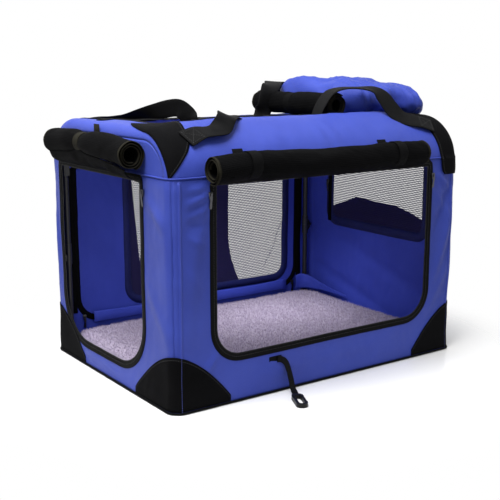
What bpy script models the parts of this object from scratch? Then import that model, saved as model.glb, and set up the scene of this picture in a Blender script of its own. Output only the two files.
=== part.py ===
# Soft folding pet carrier: a steel tube frame with folding knees inside a fabric cover.
# Metres, +Z up. Origin: middle of the bottom cover's underside. +X runs along the long side,
# -Y is the front with the large doorway, -X is the end with the small doorway.

import math

import bpy
import bmesh
from mathutils import Vector

# Overall cover
LENGTH = 0.700
WIDTH = 0.495
HALF_L = LENGTH / 2
HALF_W = WIDTH / 2
HEIGHT = 0.502
SHOULDER_R = 0.090
SEAM_DROP = 0.007
SEAM_Z = HEIGHT - SHOULDER_R - SEAM_DROP
CORNER_R = 0.022
CLOTH = 0.0018
FIT = 0.0004

# Steel tube frame
TUBE_R = 0.006
LEG_X = HALF_L - 0.025
LEG_INSET = 0.0137
FOOT_PIVOT_Z = 0.034
PIVOT_DROP = 0.020
TOP_PIVOT_Z = SEAM_Z - PIVOT_DROP
BASE_BEND_R = 0.020
KNEE_OFFSET = 0.0125
KNEE_COLLAR_R = 0.0075
KNEE_COLLAR_LENGTH = 0.022
KNEE_EYE_R = 0.0040
KNEE_TONGUE = 0.0040
KNEE_EAR = 0.0024
KNEE_PIN_R = 0.0016
FORK_PIN_R = 0.0020
FORK_CHEEK = 0.0020
FORK_HALF_X = 0.0060
RIVET_HEAD = 0.0008
RUNNING = 0.0004
LEG_END = 0.006
FORK_CLEAR = 0.0095
FORK_BLOCK = 0.0105

# Floor
BOTTOM_COVER = 0.0012
BOARD_THICK = 0.004
MAT_TOP_Z = 0.050
MAT_EDGE_R = 0.012
PIPING_R = 0.0020

# Doorways and windows: low corner, high corner, bottom corner radius. Their sides keep their
# distance from the cover's ends, as the roof opening, rolls and bundle do.
DOOR_HEADROOM = 0.009
DOOR_TOP_Z = SEAM_Z - DOOR_HEADROOM
WINDOW_DEPTH = 0.160
WINDOW_LOW_Z = DOOR_TOP_Z - WINDOW_DEPTH
FRONT_DOOR = ((0.084 - HALF_L, 0.085), (HALF_L - 0.082, DOOR_TOP_Z), 0.060)
LEFT_DOOR = ((0.0975 - HALF_W, 0.060), (HALF_W - 0.0625, DOOR_TOP_Z), 0.100)
RIGHT_WINDOW = ((0.0925 - HALF_W, WINDOW_LOW_Z), (HALF_W - 0.0925, DOOR_TOP_Z), 0.020)
BACK_DOOR = ((0.050 - HALF_L, 0.055), (HALF_L - 0.045, DOOR_TOP_Z), 0.050)
DOOR_TOP_R = 0.008
ZIP_TAPE = 0.008
BACK_DOOR_BORDER = 0.030
MESH = 0.0008
COVER_EDGE_X = HALF_L - 0.245
WINDOW_COVER_TOP_Z = WINDOW_LOW_Z + 0.054
WINDOW_COVER_BOTTOM_Z = WINDOW_LOW_Z - 0.010

# Roof opening
ROOF_OPEN_X = (0.080 - HALF_L, HALF_L - 0.265)
ROOF_OPEN_Y = HALF_W - 0.0975
ROOF_OPEN_R = 0.030
BINDING_WIDTH = 0.010

# Reinforcing patches
PATCH = 0.0012
SKIN_GAP = 0.0003
CORNER_PATCH_HEIGHT = 0.107
CORNER_PATCH_LONG = 0.115
CORNER_PATCH_SHORT = 0.135
CORNER_PATCH_END = 0.012
SHOULDER_PATCH_WIDTH = 0.050
SHOULDER_PATCH_TIP = 0.006

# Rolled doors
FRONT_ROLL_R = 0.0250
FRONT_ROLL_X = (0.065 - HALF_L, HALF_L - 0.122)
FRONT_ROLL_RISE = 0.0325
FRONT_ROLL_Z = SEAM_Z + FRONT_ROLL_RISE
LEFT_ROLL_R = 0.0250
LEFT_ROLL_Y = (0.0795 - HALF_W, HALF_W - 0.0945)
LEFT_ROLL_DROP = 0.036
LEFT_ROLL_Z = HEIGHT - LEFT_ROLL_DROP
LEFT_ROLL_SAG = 0.014
TOP_ROLL_R = 0.0210
TOP_ROLL_X = HALF_L - 0.238
TOP_ROLL_HALF = HALF_W - 0.1175
ROLL_HOLLOW = 0.55
ROLL_STANDOFF = 0.0032
TIE_WIDTH = 0.022
TIE_THICK = 0.0022
FRONT_TIE_X = (FRONT_ROLL_X[0] + 0.080, FRONT_ROLL_X[1] - 0.088)
LEFT_TIE_Y = 0.020
TOP_TIE_Y = 0.010
TIE_TAB_ANGLE = 46.0
LEFT_TAB_DROP = 0.002

# Folded cover lying on the roof
BUNDLE_X = (HALF_L - 0.205, HALF_L - 0.010)
BUNDLE_Y = (0.1495 - HALF_W, HALF_W - 0.1355)
BUNDLE_FRONT_SWELL = 0.030
BUNDLE_RISE = 0.072
BUNDLE_END_RISE = 0.024
BUNDLE_EDGE_R = 0.024
BUNDLE_FOOT_R = 0.004

# Carrying handles
WEBBING_WIDTH = 0.038
WEBBING = 0.0026
HANDLE_ANGLE = 50.0
HANDLE_STANDOFF = 0.0035
HANDLE_END_X = HALF_L - 0.050

# Zip sliders
SLIDER = (0.009, 0.013, 0.0030)
PULL = (0.006, 0.024, 0.0012)
FRONT_SLIDERS = (
    (FRONT_DOOR[0][0] - 0.006, DOOR_TOP_Z - 0.008), (FRONT_DOOR[1][0] + 0.0055, DOOR_TOP_Z - 0.012))
LEFT_SLIDER = (LEFT_DOOR[0][0] - 0.006, DOOR_TOP_Z - 0.008)
BACK_SLIDERS_X = (BACK_DOOR[0][0] + 0.012, BACK_DOOR[1][0] - 0.012)
BACK_SLIDER_Z = 0.060

# Tether
TETHER_TAB_X = (-0.144, -0.115)
TETHER_TAB_Z = (0.047, 0.072)
TETHER_TAB = 0.0022
TETHER_WIDTH = 0.012
TETHER_THICK = 0.0020
HOOK_THICK = 0.0075
HOOK_LENGTH = 0.056
HOOK_WIDTH = 0.022
HOOK_BAR = 0.0055

TUBE_SIDES = 12
ROLL_SIDES = 16
ARC_STEPS = 5
CORNER_STEPS = 6
SHOULDER_STEPS = 10

LEG_Y = HALF_W - CLOTH - LEG_INSET
KNEE_Z = (FOOT_PIVOT_Z + TOP_PIVOT_Z) / 2
RING_Z = BOTTOM_COVER + SKIN_GAP + TUBE_R
SHOULDER_Y = HALF_W - SHOULDER_R
SHOULDER_Z = HEIGHT - SHOULDER_R
BAND_GAP = (ROLL_STANDOFF - TIE_THICK) / 2

for old in list(bpy.data.objects):
    bpy.data.objects.remove(old, do_unlink=True)


def make_material(name, colour, roughness, metallic=0.0):
    material = bpy.data.materials.new(name)
    material.use_nodes = True
    shader = material.node_tree.nodes["Principled BSDF"]
    shader.inputs["Base Color"].default_value = (*colour, 1.0)
    shader.inputs["Roughness"].default_value = roughness
    shader.inputs["Metallic"].default_value = metallic
    return material


COLOURS = {
    "blue_fabric": ((0.065, 0.085, 0.420), 0.80, 0.0),
    "black_fabric": ((0.012, 0.012, 0.013), 0.85, 0.0),
    "black_mesh": ((0.020, 0.020, 0.024), 0.80, 0.0),
    "webbing": ((0.014, 0.014, 0.015), 0.70, 0.0),
    "fleece": ((0.620, 0.560, 0.620), 0.95, 0.0),
    "board": ((0.100, 0.090, 0.080), 0.75, 0.0),
    "steel_tube": ((0.060, 0.060, 0.064), 0.40, 0.6),
    "steel": ((0.450, 0.450, 0.470), 0.35, 1.0),
    "slider_metal": ((0.350, 0.350, 0.360), 0.35, 1.0),
    "black_plastic": ((0.015, 0.015, 0.016), 0.45, 0.0),
}


def finish(name, mesh_builder, colour, smooth_angle=35.0):
    """Turns a bmesh into a named object with its own material, faces outwards."""
    bmesh.ops.recalc_face_normals(mesh_builder, faces=mesh_builder.faces)
    mesh = bpy.data.meshes.new(name)
    mesh_builder.to_mesh(mesh)
    mesh_builder.free()
    mesh.shade_smooth()
    mesh.set_sharp_from_angle(angle=math.radians(smooth_angle))
    rgb, roughness, metallic = COLOURS[colour]
    mesh.materials.append(make_material(name, rgb, roughness, metallic))
    obj = bpy.data.objects.new(name, mesh)
    bpy.context.collection.objects.link(obj)
    return obj


def as_tool(obj):
    obj.hide_render = True
    obj.display_type = "WIRE"
    return obj


def boolean(obj, tool, operation):
    modifier = obj.modifiers.new(operation.lower(), "BOOLEAN")
    modifier.operation = operation
    modifier.solver = "EXACT"
    modifier.object = as_tool(tool)
    return obj


def place(axis, u, v, w):
    """A point from outline coordinates (u, v) and a depth w along the axis."""
    return {"x": Vector((w, u, v)), "y": Vector((u, w, v)), "z": Vector((u, v, w))}[axis]


def arc(cu, cv, radius, start, end, steps=ARC_STEPS):
    """Points on an arc, angles in degrees, both ends included."""
    points = []
    for i in range(steps + 1):
        angle = math.radians(start + (end - start) * i / steps)
        points.append((cu + radius * math.cos(angle), cv + radius * math.sin(angle)))
    return points


def rounded_box_outline(low, high, bottom_r, top_r, steps=ARC_STEPS):
    """Anticlockwise outline with one radius at the bottom corners and one at the top."""
    (u0, v0), (u1, v1) = low, high
    return (
        arc(u0 + bottom_r, v0 + bottom_r, bottom_r, 180, 270, steps)
        + arc(u1 - bottom_r, v0 + bottom_r, bottom_r, 270, 360, steps)
        + arc(u1 - top_r, v1 - top_r, top_r, 0, 90, steps)
        + arc(u0 + top_r, v1 - top_r, top_r, 90, 180, steps)
    )


def add_prism(mesh_builder, outline, axis, low, high):
    """A solid between two depths."""
    bottom = [mesh_builder.verts.new(place(axis, u, v, low)) for u, v in outline]
    top = [mesh_builder.verts.new(place(axis, u, v, high)) for u, v in outline]
    count = len(outline)
    for i in range(count):
        j = (i + 1) % count
        mesh_builder.faces.new((bottom[i], bottom[j], top[j], top[i]))
    mesh_builder.faces.new(bottom)
    mesh_builder.faces.new(top)


def prism(name, outline, axis, low, high, colour):
    mesh_builder = bmesh.new()
    add_prism(mesh_builder, outline, axis, low, high)
    return finish(name, mesh_builder, colour)


def ring_prism(name, outer, inner, axis, low, high, colour):
    """A flat ring between two outlines with the same number of points."""
    mesh_builder = bmesh.new()
    loops = []
    for outline, depth in ((outer, low), (outer, high), (inner, high), (inner, low)):
        loops.append([mesh_builder.verts.new(place(axis, u, v, depth)) for u, v in outline])
    count = len(outer)
    for k in range(4):
        here, there = loops[k], loops[(k + 1) % 4]
        for i in range(count):
            j = (i + 1) % count
            mesh_builder.faces.new((here[i], here[j], there[j], there[i]))
    return finish(name, mesh_builder, colour)


def bridge(mesh_builder, here, there, closed):
    count = len(here)
    for i in range(count if closed else count - 1):
        j = (i + 1) % count
        mesh_builder.faces.new((here[i], here[j], there[j], there[i]))


def frames_along(path, normals):
    """For each point, the path's direction, the given normal made square to it, and the side."""
    frames = []
    for i, point in enumerate(path):
        before = path[max(i - 1, 0)]
        after = path[min(i + 1, len(path) - 1)]
        along = (after - before).normalized()
        normal = normals[i] - normals[i].dot(along) * along
        normal.normalize()
        frames.append((point, along, normal, along.cross(normal)))
    return frames


def add_round_sweep(mesh_builder, path, radius, sides=TUBE_SIDES, cyclic=False, hollow=0.0):
    """A round tube along a path. A hollow share above zero leaves a bore open at both ends."""
    count = len(path)
    tangents = []
    for i in range(count):
        if cyclic:
            tangents.append((path[(i + 1) % count] - path[i - 1]).normalized())
        else:
            tangents.append((path[min(i + 1, count - 1)] - path[max(i - 1, 0)]).normalized())
    side = tangents[0].orthogonal().normalized()
    rings, bores = [], []
    for point, along in zip(path, tangents):
        side = (side - side.dot(along) * along).normalized()
        other = along.cross(side)
        ring, bore = [], []
        for k in range(sides):
            angle = 2 * math.pi * k / sides
            out = side * math.cos(angle) + other * math.sin(angle)
            ring.append(mesh_builder.verts.new(point + out * radius))
            if hollow:
                bore.append(mesh_builder.verts.new(point + out * radius * hollow))
        rings.append(ring)
        bores.append(bore)
    for i in range(count if cyclic else count - 1):
        bridge(mesh_builder, rings[i], rings[(i + 1) % count], True)
        if hollow:
            bridge(mesh_builder, bores[i], bores[(i + 1) % count], True)
    if cyclic:
        return
    for end in (0, -1):
        if hollow:
            bridge(mesh_builder, rings[end], bores[end], True)
        else:
            mesh_builder.faces.new(rings[end])


def add_strap(mesh_builder, path, normals, width, thick):
    """Flat webbing along a path, its broad faces square to the normals."""
    rings = []
    for point, _, normal, side in frames_along(path, normals):
        corners = ((-1, -1), (1, -1), (1, 1), (-1, 1))
        rings.append([
            mesh_builder.verts.new(point + side * a * width / 2 + normal * b * thick / 2)
            for a, b in corners
        ])
    for here, there in zip(rings, rings[1:]):
        bridge(mesh_builder, here, there, True)
    mesh_builder.faces.new(rings[0])
    mesh_builder.faces.new(rings[-1])


def smooth_path(points, per_span):
    """A Catmull-Rom curve through the points."""
    points = [Vector(p) for p in points]
    ends = [points[0] * 2 - points[1]] + points + [points[-1] * 2 - points[-2]]
    curve = []
    for i in range(1, len(ends) - 2):
        a, b, c, d = ends[i - 1:i + 3]
        for k in range(per_span):
            t = k / per_span
            curve.append(0.5 * (2 * b + (c - a) * t + (2 * a - 5 * b + 4 * c - d) * t ** 2
                                + (3 * b - a - 3 * c + d) * t ** 3))
    curve.append(points[-1])
    return curve


def add_pin(mesh_builder, x, z, y_middle, half, radius, head_r):
    """A rivet along Y with a flat head outside each cheek."""
    start = y_middle - half - RIVET_HEAD
    end = y_middle + half + RIVET_HEAD
    stations = (
        (start, head_r), (start + RIVET_HEAD, head_r), (start + RIVET_HEAD, radius),
        (end - RIVET_HEAD, radius), (end - RIVET_HEAD, head_r), (end, head_r),
    )
    rings = []
    for y, r in stations:
        rings.append([
            mesh_builder.verts.new((x + u, y, z + v))
            for u, v in arc(0, 0, r, 0, 330, TUBE_SIDES - 1)
        ])
    for here, there in zip(rings, rings[1:]):
        bridge(mesh_builder, here, there, True)
    mesh_builder.faces.new(rings[0])
    mesh_builder.faces.new(rings[-1])


def hole_tool(name, centres, radius, y_low, y_high):
    """Round cutters along Y at the given X, Z centres."""
    mesh_builder = bmesh.new()
    for x, z in centres:
        add_prism(mesh_builder, arc(x, z, radius, 0, 330, TUBE_SIDES - 1), "y", y_low, y_high)
    return finish(name, mesh_builder, "steel")


# Cover outline in plan

CORNERS = (
    (-HALF_L + CORNER_R, -HALF_W + CORNER_R, 180),
    (HALF_L - CORNER_R, -HALF_W + CORNER_R, 270),
    (HALF_L - CORNER_R, HALF_W - CORNER_R, 0),
    (-HALF_L + CORNER_R, HALF_W - CORNER_R, 90),
)


def plan_outline(offset=0.0, steps=CORNER_STEPS):
    """The cover's rounded rectangle seen from above, grown by an offset."""
    outline = []
    for cx, cy, start in CORNERS:
        outline += arc(cx, cy, CORNER_R + offset, start, start + 90, steps)
    return outline


def wall_outline(side, low, high, steps=CORNER_STEPS // 2):
    """One wall's plan from mid-corner to mid-corner, between two offsets from the cover face."""
    trim = math.degrees(FIT / 2 / CORNER_R)
    ax, ay, a_start = CORNERS[side]
    bx, by, b_start = CORNERS[(side + 1) % 4]

    def edge(offset):
        first = arc(ax, ay, CORNER_R + offset, a_start + 45 + trim, a_start + 90, steps)
        return first + arc(bx, by, CORNER_R + offset, b_start, b_start + 45 - trim, steps)

    return edge(high) + edge(low)[::-1]


def make_floor():
    prism("bottom_cover", plan_outline(), "z", 0.0, BOTTOM_COVER, "black_fabric")
    inside_x = HALF_L - CLOTH - LEG_INSET - TUBE_R - FIT
    inside_y = LEG_Y - TUBE_R - FIT
    board = rounded_box_outline((-inside_x, -inside_y), (inside_x, inside_y), BASE_BEND_R, BASE_BEND_R, 4)
    board_low = BOTTOM_COVER + FIT
    prism("floor_board", board, "z", board_low, board_low + BOARD_THICK, "board")

    mat_low = board_low + BOARD_THICK + FIT
    half_x = inside_x
    half_y = LEG_Y - KNEE_COLLAR_R - 4 * RUNNING
    mesh_builder = bmesh.new()
    levels = (
        (mat_low, 0.002), (mat_low + 0.004, 0.0), (MAT_TOP_Z - MAT_EDGE_R, 0.0),
        (MAT_TOP_Z - MAT_EDGE_R * 0.3, MAT_EDGE_R * 0.3), (MAT_TOP_Z, MAT_EDGE_R),
    )
    rings = []
    for z, inset in levels:
        low = (-half_x + inset, -half_y + inset)
        high = (half_x - inset, half_y - inset)
        radius = 2 * BASE_BEND_R - inset
        outline = rounded_box_outline(low, high, radius, radius, 4)
        rings.append([mesh_builder.verts.new((u, v, z)) for u, v in outline])
    for here, there in zip(rings, rings[1:]):
        bridge(mesh_builder, here, there, True)
    mesh_builder.faces.new(rings[0])
    mesh_builder.faces.new(rings[-1])
    finish("pet_mat", mesh_builder, "fleece")

    piping = bmesh.new()
    offset = FIT + PIPING_R
    path = [Vector((u, v, PIPING_R + 2 * FIT)) for u, v in plan_outline(offset)]
    add_round_sweep(piping, path, PIPING_R, 6, cyclic=True)
    finish("bottom_piping", piping, "black_fabric")


def leg_places():
    for end, x_sign in (("left", -1), ("right", 1)):
        for side, y_sign in (("front", -1), ("back", 1)):
            yield end, side, x_sign, y_sign


def fork_half():
    """Half the width of a fork over its cheeks."""
    return TUBE_R + RUNNING + FORK_CHEEK


def add_fork(mesh_builder, x, y, block_low, block_high, pivot_z):
    """A block with two cheeks that hold the pivot pin, one closed U-shaped body."""
    slot = TUBE_R + RUNNING
    outer = fork_half()
    cheek_end = pivot_z + (TUBE_R if pivot_z > block_low else -TUBE_R)
    if pivot_z > block_low:
        outline = [(-outer, block_low), (outer, block_low), (outer, cheek_end), (slot, cheek_end),
                   (slot, block_high), (-slot, block_high), (-slot, cheek_end), (-outer, cheek_end)]
    else:
        outline = [(-outer, cheek_end), (-slot, cheek_end), (-slot, block_low), (slot, block_low),
                   (slot, cheek_end), (outer, cheek_end), (outer, block_high), (-outer, block_high)]
    add_prism(mesh_builder, [(y + u, v) for u, v in outline], "x", x - FORK_HALF_X, x + FORK_HALF_X)


def make_base_frame():
    """The bottom tube, bent into one ring, with a welded fork and pin for each upright."""
    half_x = HALF_L - CLOTH - LEG_INSET
    outline = rounded_box_outline((-half_x, -LEG_Y), (half_x, LEG_Y), BASE_BEND_R, BASE_BEND_R, 4)
    ring = bmesh.new()
    add_round_sweep(ring, [Vector((u, v, RING_Z)) for u, v in outline], TUBE_R, cyclic=True)
    obj = finish("base_frame", ring, "steel_tube")
    forks, pins = bmesh.new(), bmesh.new()
    for _, _, x_sign, y_sign in leg_places():
        x, y = x_sign * LEG_X, y_sign * LEG_Y
        add_fork(forks, x, y, RING_Z, FOOT_PIVOT_Z - FORK_CLEAR, FOOT_PIVOT_Z)
        add_pin(pins, x, FOOT_PIVOT_Z, y, fork_half(), FORK_PIN_R, 1.7 * FORK_PIN_R)
    boolean(obj, finish("base_forks", forks, "steel_tube"), "UNION")
    boolean(obj, finish("base_pins", pins, "steel_tube"), "UNION")


def add_knee_plate(mesh_builder, x, x_sign, up, y_low, y_high):
    """A plate from the collar out to a rounded eye on the knee axis."""
    eye_x = x + x_sign * KNEE_OFFSET
    root_x = x + x_sign * KNEE_COLLAR_R * 0.5
    eye = []
    for i in range(ARC_STEPS + 2):
        angle = math.radians(-90 + 180 * i / (ARC_STEPS + 1))
        eye.append((eye_x + x_sign * KNEE_EYE_R * math.cos(angle), KNEE_Z + up * KNEE_EYE_R * math.sin(angle)))
    inner_x = eye_x - x_sign * KNEE_EYE_R
    near_z = KNEE_Z + up * 2 * RUNNING
    far_z = KNEE_Z + up * KNEE_COLLAR_LENGTH * 0.8
    outline = [(inner_x, KNEE_Z - up * KNEE_EYE_R * 0.6)] + eye + [
        (eye_x + x_sign * KNEE_EYE_R * 0.2, KNEE_Z + up * KNEE_EYE_R * 1.8), (root_x, far_z),
        (root_x, near_z), (inner_x, near_z)]
    add_prism(mesh_builder, outline, "y", y_low, y_high)


def add_turned(mesh_builder, x, y, stations):
    """A round body along Z from (height, radius) stations."""
    rings = []
    for z, r in stations:
        rings.append([
            mesh_builder.verts.new((x + u, y + v, z))
            for u, v in arc(0, 0, r, 0, 330, TUBE_SIDES - 1)
        ])
    for here, there in zip(rings, rings[1:]):
        bridge(mesh_builder, here, there, True)
    mesh_builder.faces.new(rings[0])
    mesh_builder.faces.new(rings[-1])


def make_leg(name, x_sign, y_sign, upper):
    """One half of a folding upright. The lower half's ears hold the knee pin."""
    x, y = x_sign * LEG_X, y_sign * LEG_Y
    up = 1 if upper else -1
    pivot_z = TOP_PIVOT_Z if upper else FOOT_PIVOT_Z
    knee_end = KNEE_Z + up * RUNNING / 2
    collar_end = knee_end + up * KNEE_COLLAR_LENGTH
    far_end = pivot_z + up * LEG_END
    stations = [(knee_end, KNEE_COLLAR_R), (collar_end, KNEE_COLLAR_R), (collar_end, TUBE_R), (far_end, TUBE_R)]
    leg = bmesh.new()
    add_turned(leg, x, y, stations)
    obj = finish(name, leg, "steel_tube")
    plates = bmesh.new()
    half_tongue = KNEE_TONGUE / 2
    inner = half_tongue + RUNNING
    outer = inner + KNEE_EAR
    knee_x = x + x_sign * KNEE_OFFSET
    reach = 2 * KNEE_COLLAR_R
    if upper:
        add_knee_plate(plates, x, x_sign, up, y - half_tongue, y + half_tongue)
        boolean(obj, finish(name + "_tongue", plates, "steel_tube"), "UNION")
        tool = hole_tool(name + "_knee_hole", [(knee_x, KNEE_Z)], KNEE_PIN_R + RUNNING, y - reach, y + reach)
        boolean(obj, tool, "DIFFERENCE")
    else:
        add_knee_plate(plates, x, x_sign, up, y + inner, y + outer)
        add_knee_plate(plates, x, x_sign, up, y - outer, y - inner)
        boolean(obj, finish(name + "_ears", plates, "steel_tube"), "UNION")
        pin = bmesh.new()
        add_pin(pin, knee_x, KNEE_Z, y, outer, KNEE_PIN_R, 1.7 * KNEE_PIN_R)
        boolean(obj, finish(name + "_knee_pin", pin, "steel_tube"), "UNION")
    tool = hole_tool(name + "_end_hole", [(x, pivot_z)], FORK_PIN_R + RUNNING, y - reach, y + reach)
    boolean(obj, tool, "DIFFERENCE")


def make_legs():
    for end, side, x_sign, y_sign in leg_places():
        make_leg(f"{side}_{end}_lower_leg", x_sign, y_sign, False)
        make_leg(f"{side}_{end}_upper_leg", x_sign, y_sign, True)


def arch_path():
    """Half hoop of an end arch in Y, Z: out from the fork, round both shoulders, over the top."""
    radius = SHOULDER_R - CLOTH - TUBE_R - 2 * FIT
    foot = TOP_PIVOT_Z + FORK_CLEAR + FORK_BLOCK / 2
    first = [(-LEG_Y, foot), (-LEG_Y, foot + TUBE_R)]
    first += arc(-SHOULDER_Y, SHOULDER_Z, radius, 180, 90, SHOULDER_STEPS)
    return first + [(-y, z) for y, z in reversed(first)]


def make_top_frame():
    for end, x_sign in (("left", -1), ("right", 1)):
        x = x_sign * LEG_X
        arch = bmesh.new()
        add_round_sweep(arch, [Vector((x, y, z)) for y, z in arch_path()], TUBE_R)
        obj = finish(f"{end}_arch_tube", arch, "steel_tube")
        forks, pins = bmesh.new(), bmesh.new()
        block_low = TOP_PIVOT_Z + FORK_CLEAR
        for y_sign in (-1, 1):
            add_fork(forks, x, y_sign * LEG_Y, block_low, block_low + FORK_BLOCK, TOP_PIVOT_Z)
            add_pin(pins, x, TOP_PIVOT_Z, y_sign * LEG_Y, fork_half(), FORK_PIN_R, 1.7 * FORK_PIN_R)
        boolean(obj, finish(f"{end}_arch_forks", forks, "steel_tube"), "UNION")
        boolean(obj, finish(f"{end}_arch_pins", pins, "steel_tube"), "UNION")
    reach = LEG_X - TUBE_R - FIT
    rail_z = TOP_PIVOT_Z + FORK_CLEAR + FORK_BLOCK + TUBE_R + FIT
    for side, y_sign in (("front", -1), ("back", 1)):
        rail = bmesh.new()
        y = y_sign * (LEG_Y + TUBE_R / 2)
        add_round_sweep(rail, [Vector((-reach, y, rail_z)), Vector((reach, y, rail_z))], TUBE_R)
        finish(f"{side}_top_rail", rail, "steel_tube")


def wall(name, side, opening, axis):
    """A cloth wall that turns half of both its corners, with its doorway cut out."""
    low_z = BOTTOM_COVER + FIT
    obj = prism(name, wall_outline(side, -CLOTH, 0.0), "z", low_z, SEAM_Z - FIT, "blue_fabric")
    (low, high, radius) = opening
    outline = rounded_box_outline(low, high, radius, DOOR_TOP_R)
    depth = HALF_W if axis == "y" else HALF_L
    middle = depth - CLOTH / 2
    if side in (0, 3):
        middle = -middle
    tool = prism(name + "_doorway", outline, axis, middle - 3 * CLOTH, middle + 3 * CLOTH, "blue_fabric")
    boolean(obj, tool, "DIFFERENCE")


def make_walls():
    wall("front_wall", 0, FRONT_DOOR, "y")
    wall("right_wall", 1, RIGHT_WINDOW, "x")
    wall("back_wall", 2, BACK_DOOR, "y")
    wall("left_wall", 3, LEFT_DOOR, "x")
    for name, opening, axis, face, out in (
        ("front_doorway_zip", FRONT_DOOR, "y", -HALF_W, -1),
        ("left_doorway_zip", LEFT_DOOR, "x", -HALF_L, -1),
        ("back_doorway_zip", BACK_DOOR, "y", HALF_W - CLOTH, -1),
    ):
        low, high, radius = opening
        near, far = face + out * SKIN_GAP, face + out * (SKIN_GAP + PATCH)
        tape_top = SEAM_Z - FIT - high[1]
        outer = rounded_box_outline(
            (low[0] - ZIP_TAPE, low[1] - ZIP_TAPE), (high[0] + ZIP_TAPE, high[1] + tape_top),
            radius + ZIP_TAPE, DOOR_TOP_R)
        inner = rounded_box_outline(low, high, radius, DOOR_TOP_R)
        ring_prism(name, outer, inner, axis, min(near, far), max(near, far), "black_fabric")


def make_right_window():
    low, high, radius = RIGHT_WINDOW
    mesh_outline = rounded_box_outline(
        (low[0] + FIT, low[1] + FIT), (high[0] - FIT, high[1] - FIT), radius, DOOR_TOP_R)
    middle = HALF_L - CLOTH / 2
    prism("right_window_mesh", mesh_outline, "x", middle - MESH / 2, middle + MESH / 2, "black_mesh")
    face = HALF_L + SKIN_GAP
    cover = rounded_box_outline(
        (low[0] - ZIP_TAPE, WINDOW_COVER_BOTTOM_Z), (high[0] + ZIP_TAPE, WINDOW_COVER_TOP_Z), radius, radius)
    prism("right_window_cover", cover, "x", face, face + 3 * CLOTH, "blue_fabric")


def make_back_door():
    low, high, radius = BACK_DOOR
    frame_low = (low[0] + FIT, low[1] + FIT)
    frame_high = (high[0] - FIT, high[1] - FIT)
    outer = rounded_box_outline(frame_low, frame_high, radius, DOOR_TOP_R)
    border = BACK_DOOR_BORDER
    window_low = (low[0] + border, low[1] + border)
    window_high = (high[0] - border, high[1] - border / 2)
    inner = rounded_box_outline(window_low, window_high, radius, DOOR_TOP_R)
    ring_prism("back_door_frame", outer, inner, "y", HALF_W - CLOTH, HALF_W, "blue_fabric")
    pane = rounded_box_outline(
        (window_low[0] + FIT, window_low[1] + FIT), (window_high[0] - FIT, window_high[1] - FIT),
        radius, DOOR_TOP_R)
    middle = HALF_W - CLOTH / 2
    prism("back_door_mesh", pane, "y", middle - MESH / 2, middle + MESH / 2, "black_mesh")
    cover = rounded_box_outline(
        (window_low[0] - border / 2, window_low[1] - border / 2), (COVER_EDGE_X, window_high[1]),
        radius, DOOR_TOP_R)
    face = HALF_W + SKIN_GAP
    prism("back_door_cover", cover, "y", face, face + PATCH, "blue_fabric")


def roof_section(inset):
    """The roof's profile in Y, Z from the front seam over both shoulders to the back seam."""
    radius = SHOULDER_R - inset
    half = [(-HALF_W + inset, SEAM_Z)] + arc(-SHOULDER_Y, SHOULDER_Z, radius, 180, 90, SHOULDER_STEPS)
    return half + [(-y, z) for y, z in reversed(half)]


def make_roof():
    """The roof and upper ends in one shell, open below, with the roof doorway cut out."""
    steps = ARC_STEPS
    turns = [math.radians(90 * i / steps) for i in range(steps + 1)]
    builder = bmesh.new()

    def shell(thick):
        radius = CORNER_R - thick
        stations = [(-HALF_L + CORNER_R - radius * math.cos(t), CORNER_R - radius * math.sin(t)) for t in turns]
        stations += [(-x, inset) for x, inset in reversed(stations)]
        return [[builder.verts.new((x, y, z)) for y, z in roof_section(inset)] for x, inset in stations]

    outside, inside = shell(0.0), shell(CLOTH)
    for skin in (outside, inside):
        for here, there in zip(skin, skin[1:]):
            bridge(builder, here, there, False)
        builder.faces.new(skin[0])
        builder.faces.new(skin[-1])
    for edge in (0, -1):
        for i in range(len(outside) - 1):
            builder.faces.new((outside[i][edge], outside[i + 1][edge], inside[i + 1][edge], inside[i][edge]))
    for end in (0, -1):
        builder.faces.new((outside[end][0], outside[end][-1], inside[end][-1], inside[end][0]))
    obj = finish("roof_cover", builder, "blue_fabric")
    x0, x1 = ROOF_OPEN_X
    outline = rounded_box_outline((x0, -ROOF_OPEN_Y), (x1, ROOF_OPEN_Y), ROOF_OPEN_R, ROOF_OPEN_R)
    tool = prism("roof_doorway", outline, "z", HEIGHT - 3 * CLOTH, HEIGHT + 3 * CLOTH, "blue_fabric")
    boolean(obj, tool, "DIFFERENCE")
    rim = BINDING_WIDTH
    outer = rounded_box_outline(
        (x0 - rim, -ROOF_OPEN_Y - rim / 2), (x1 + rim / 2, ROOF_OPEN_Y + rim / 2), ROOF_OPEN_R, ROOF_OPEN_R)
    low = HEIGHT + SKIN_GAP
    ring_prism("roof_doorway_zip", outer, outline, "z", low, low + PATCH, "black_fabric")


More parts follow.
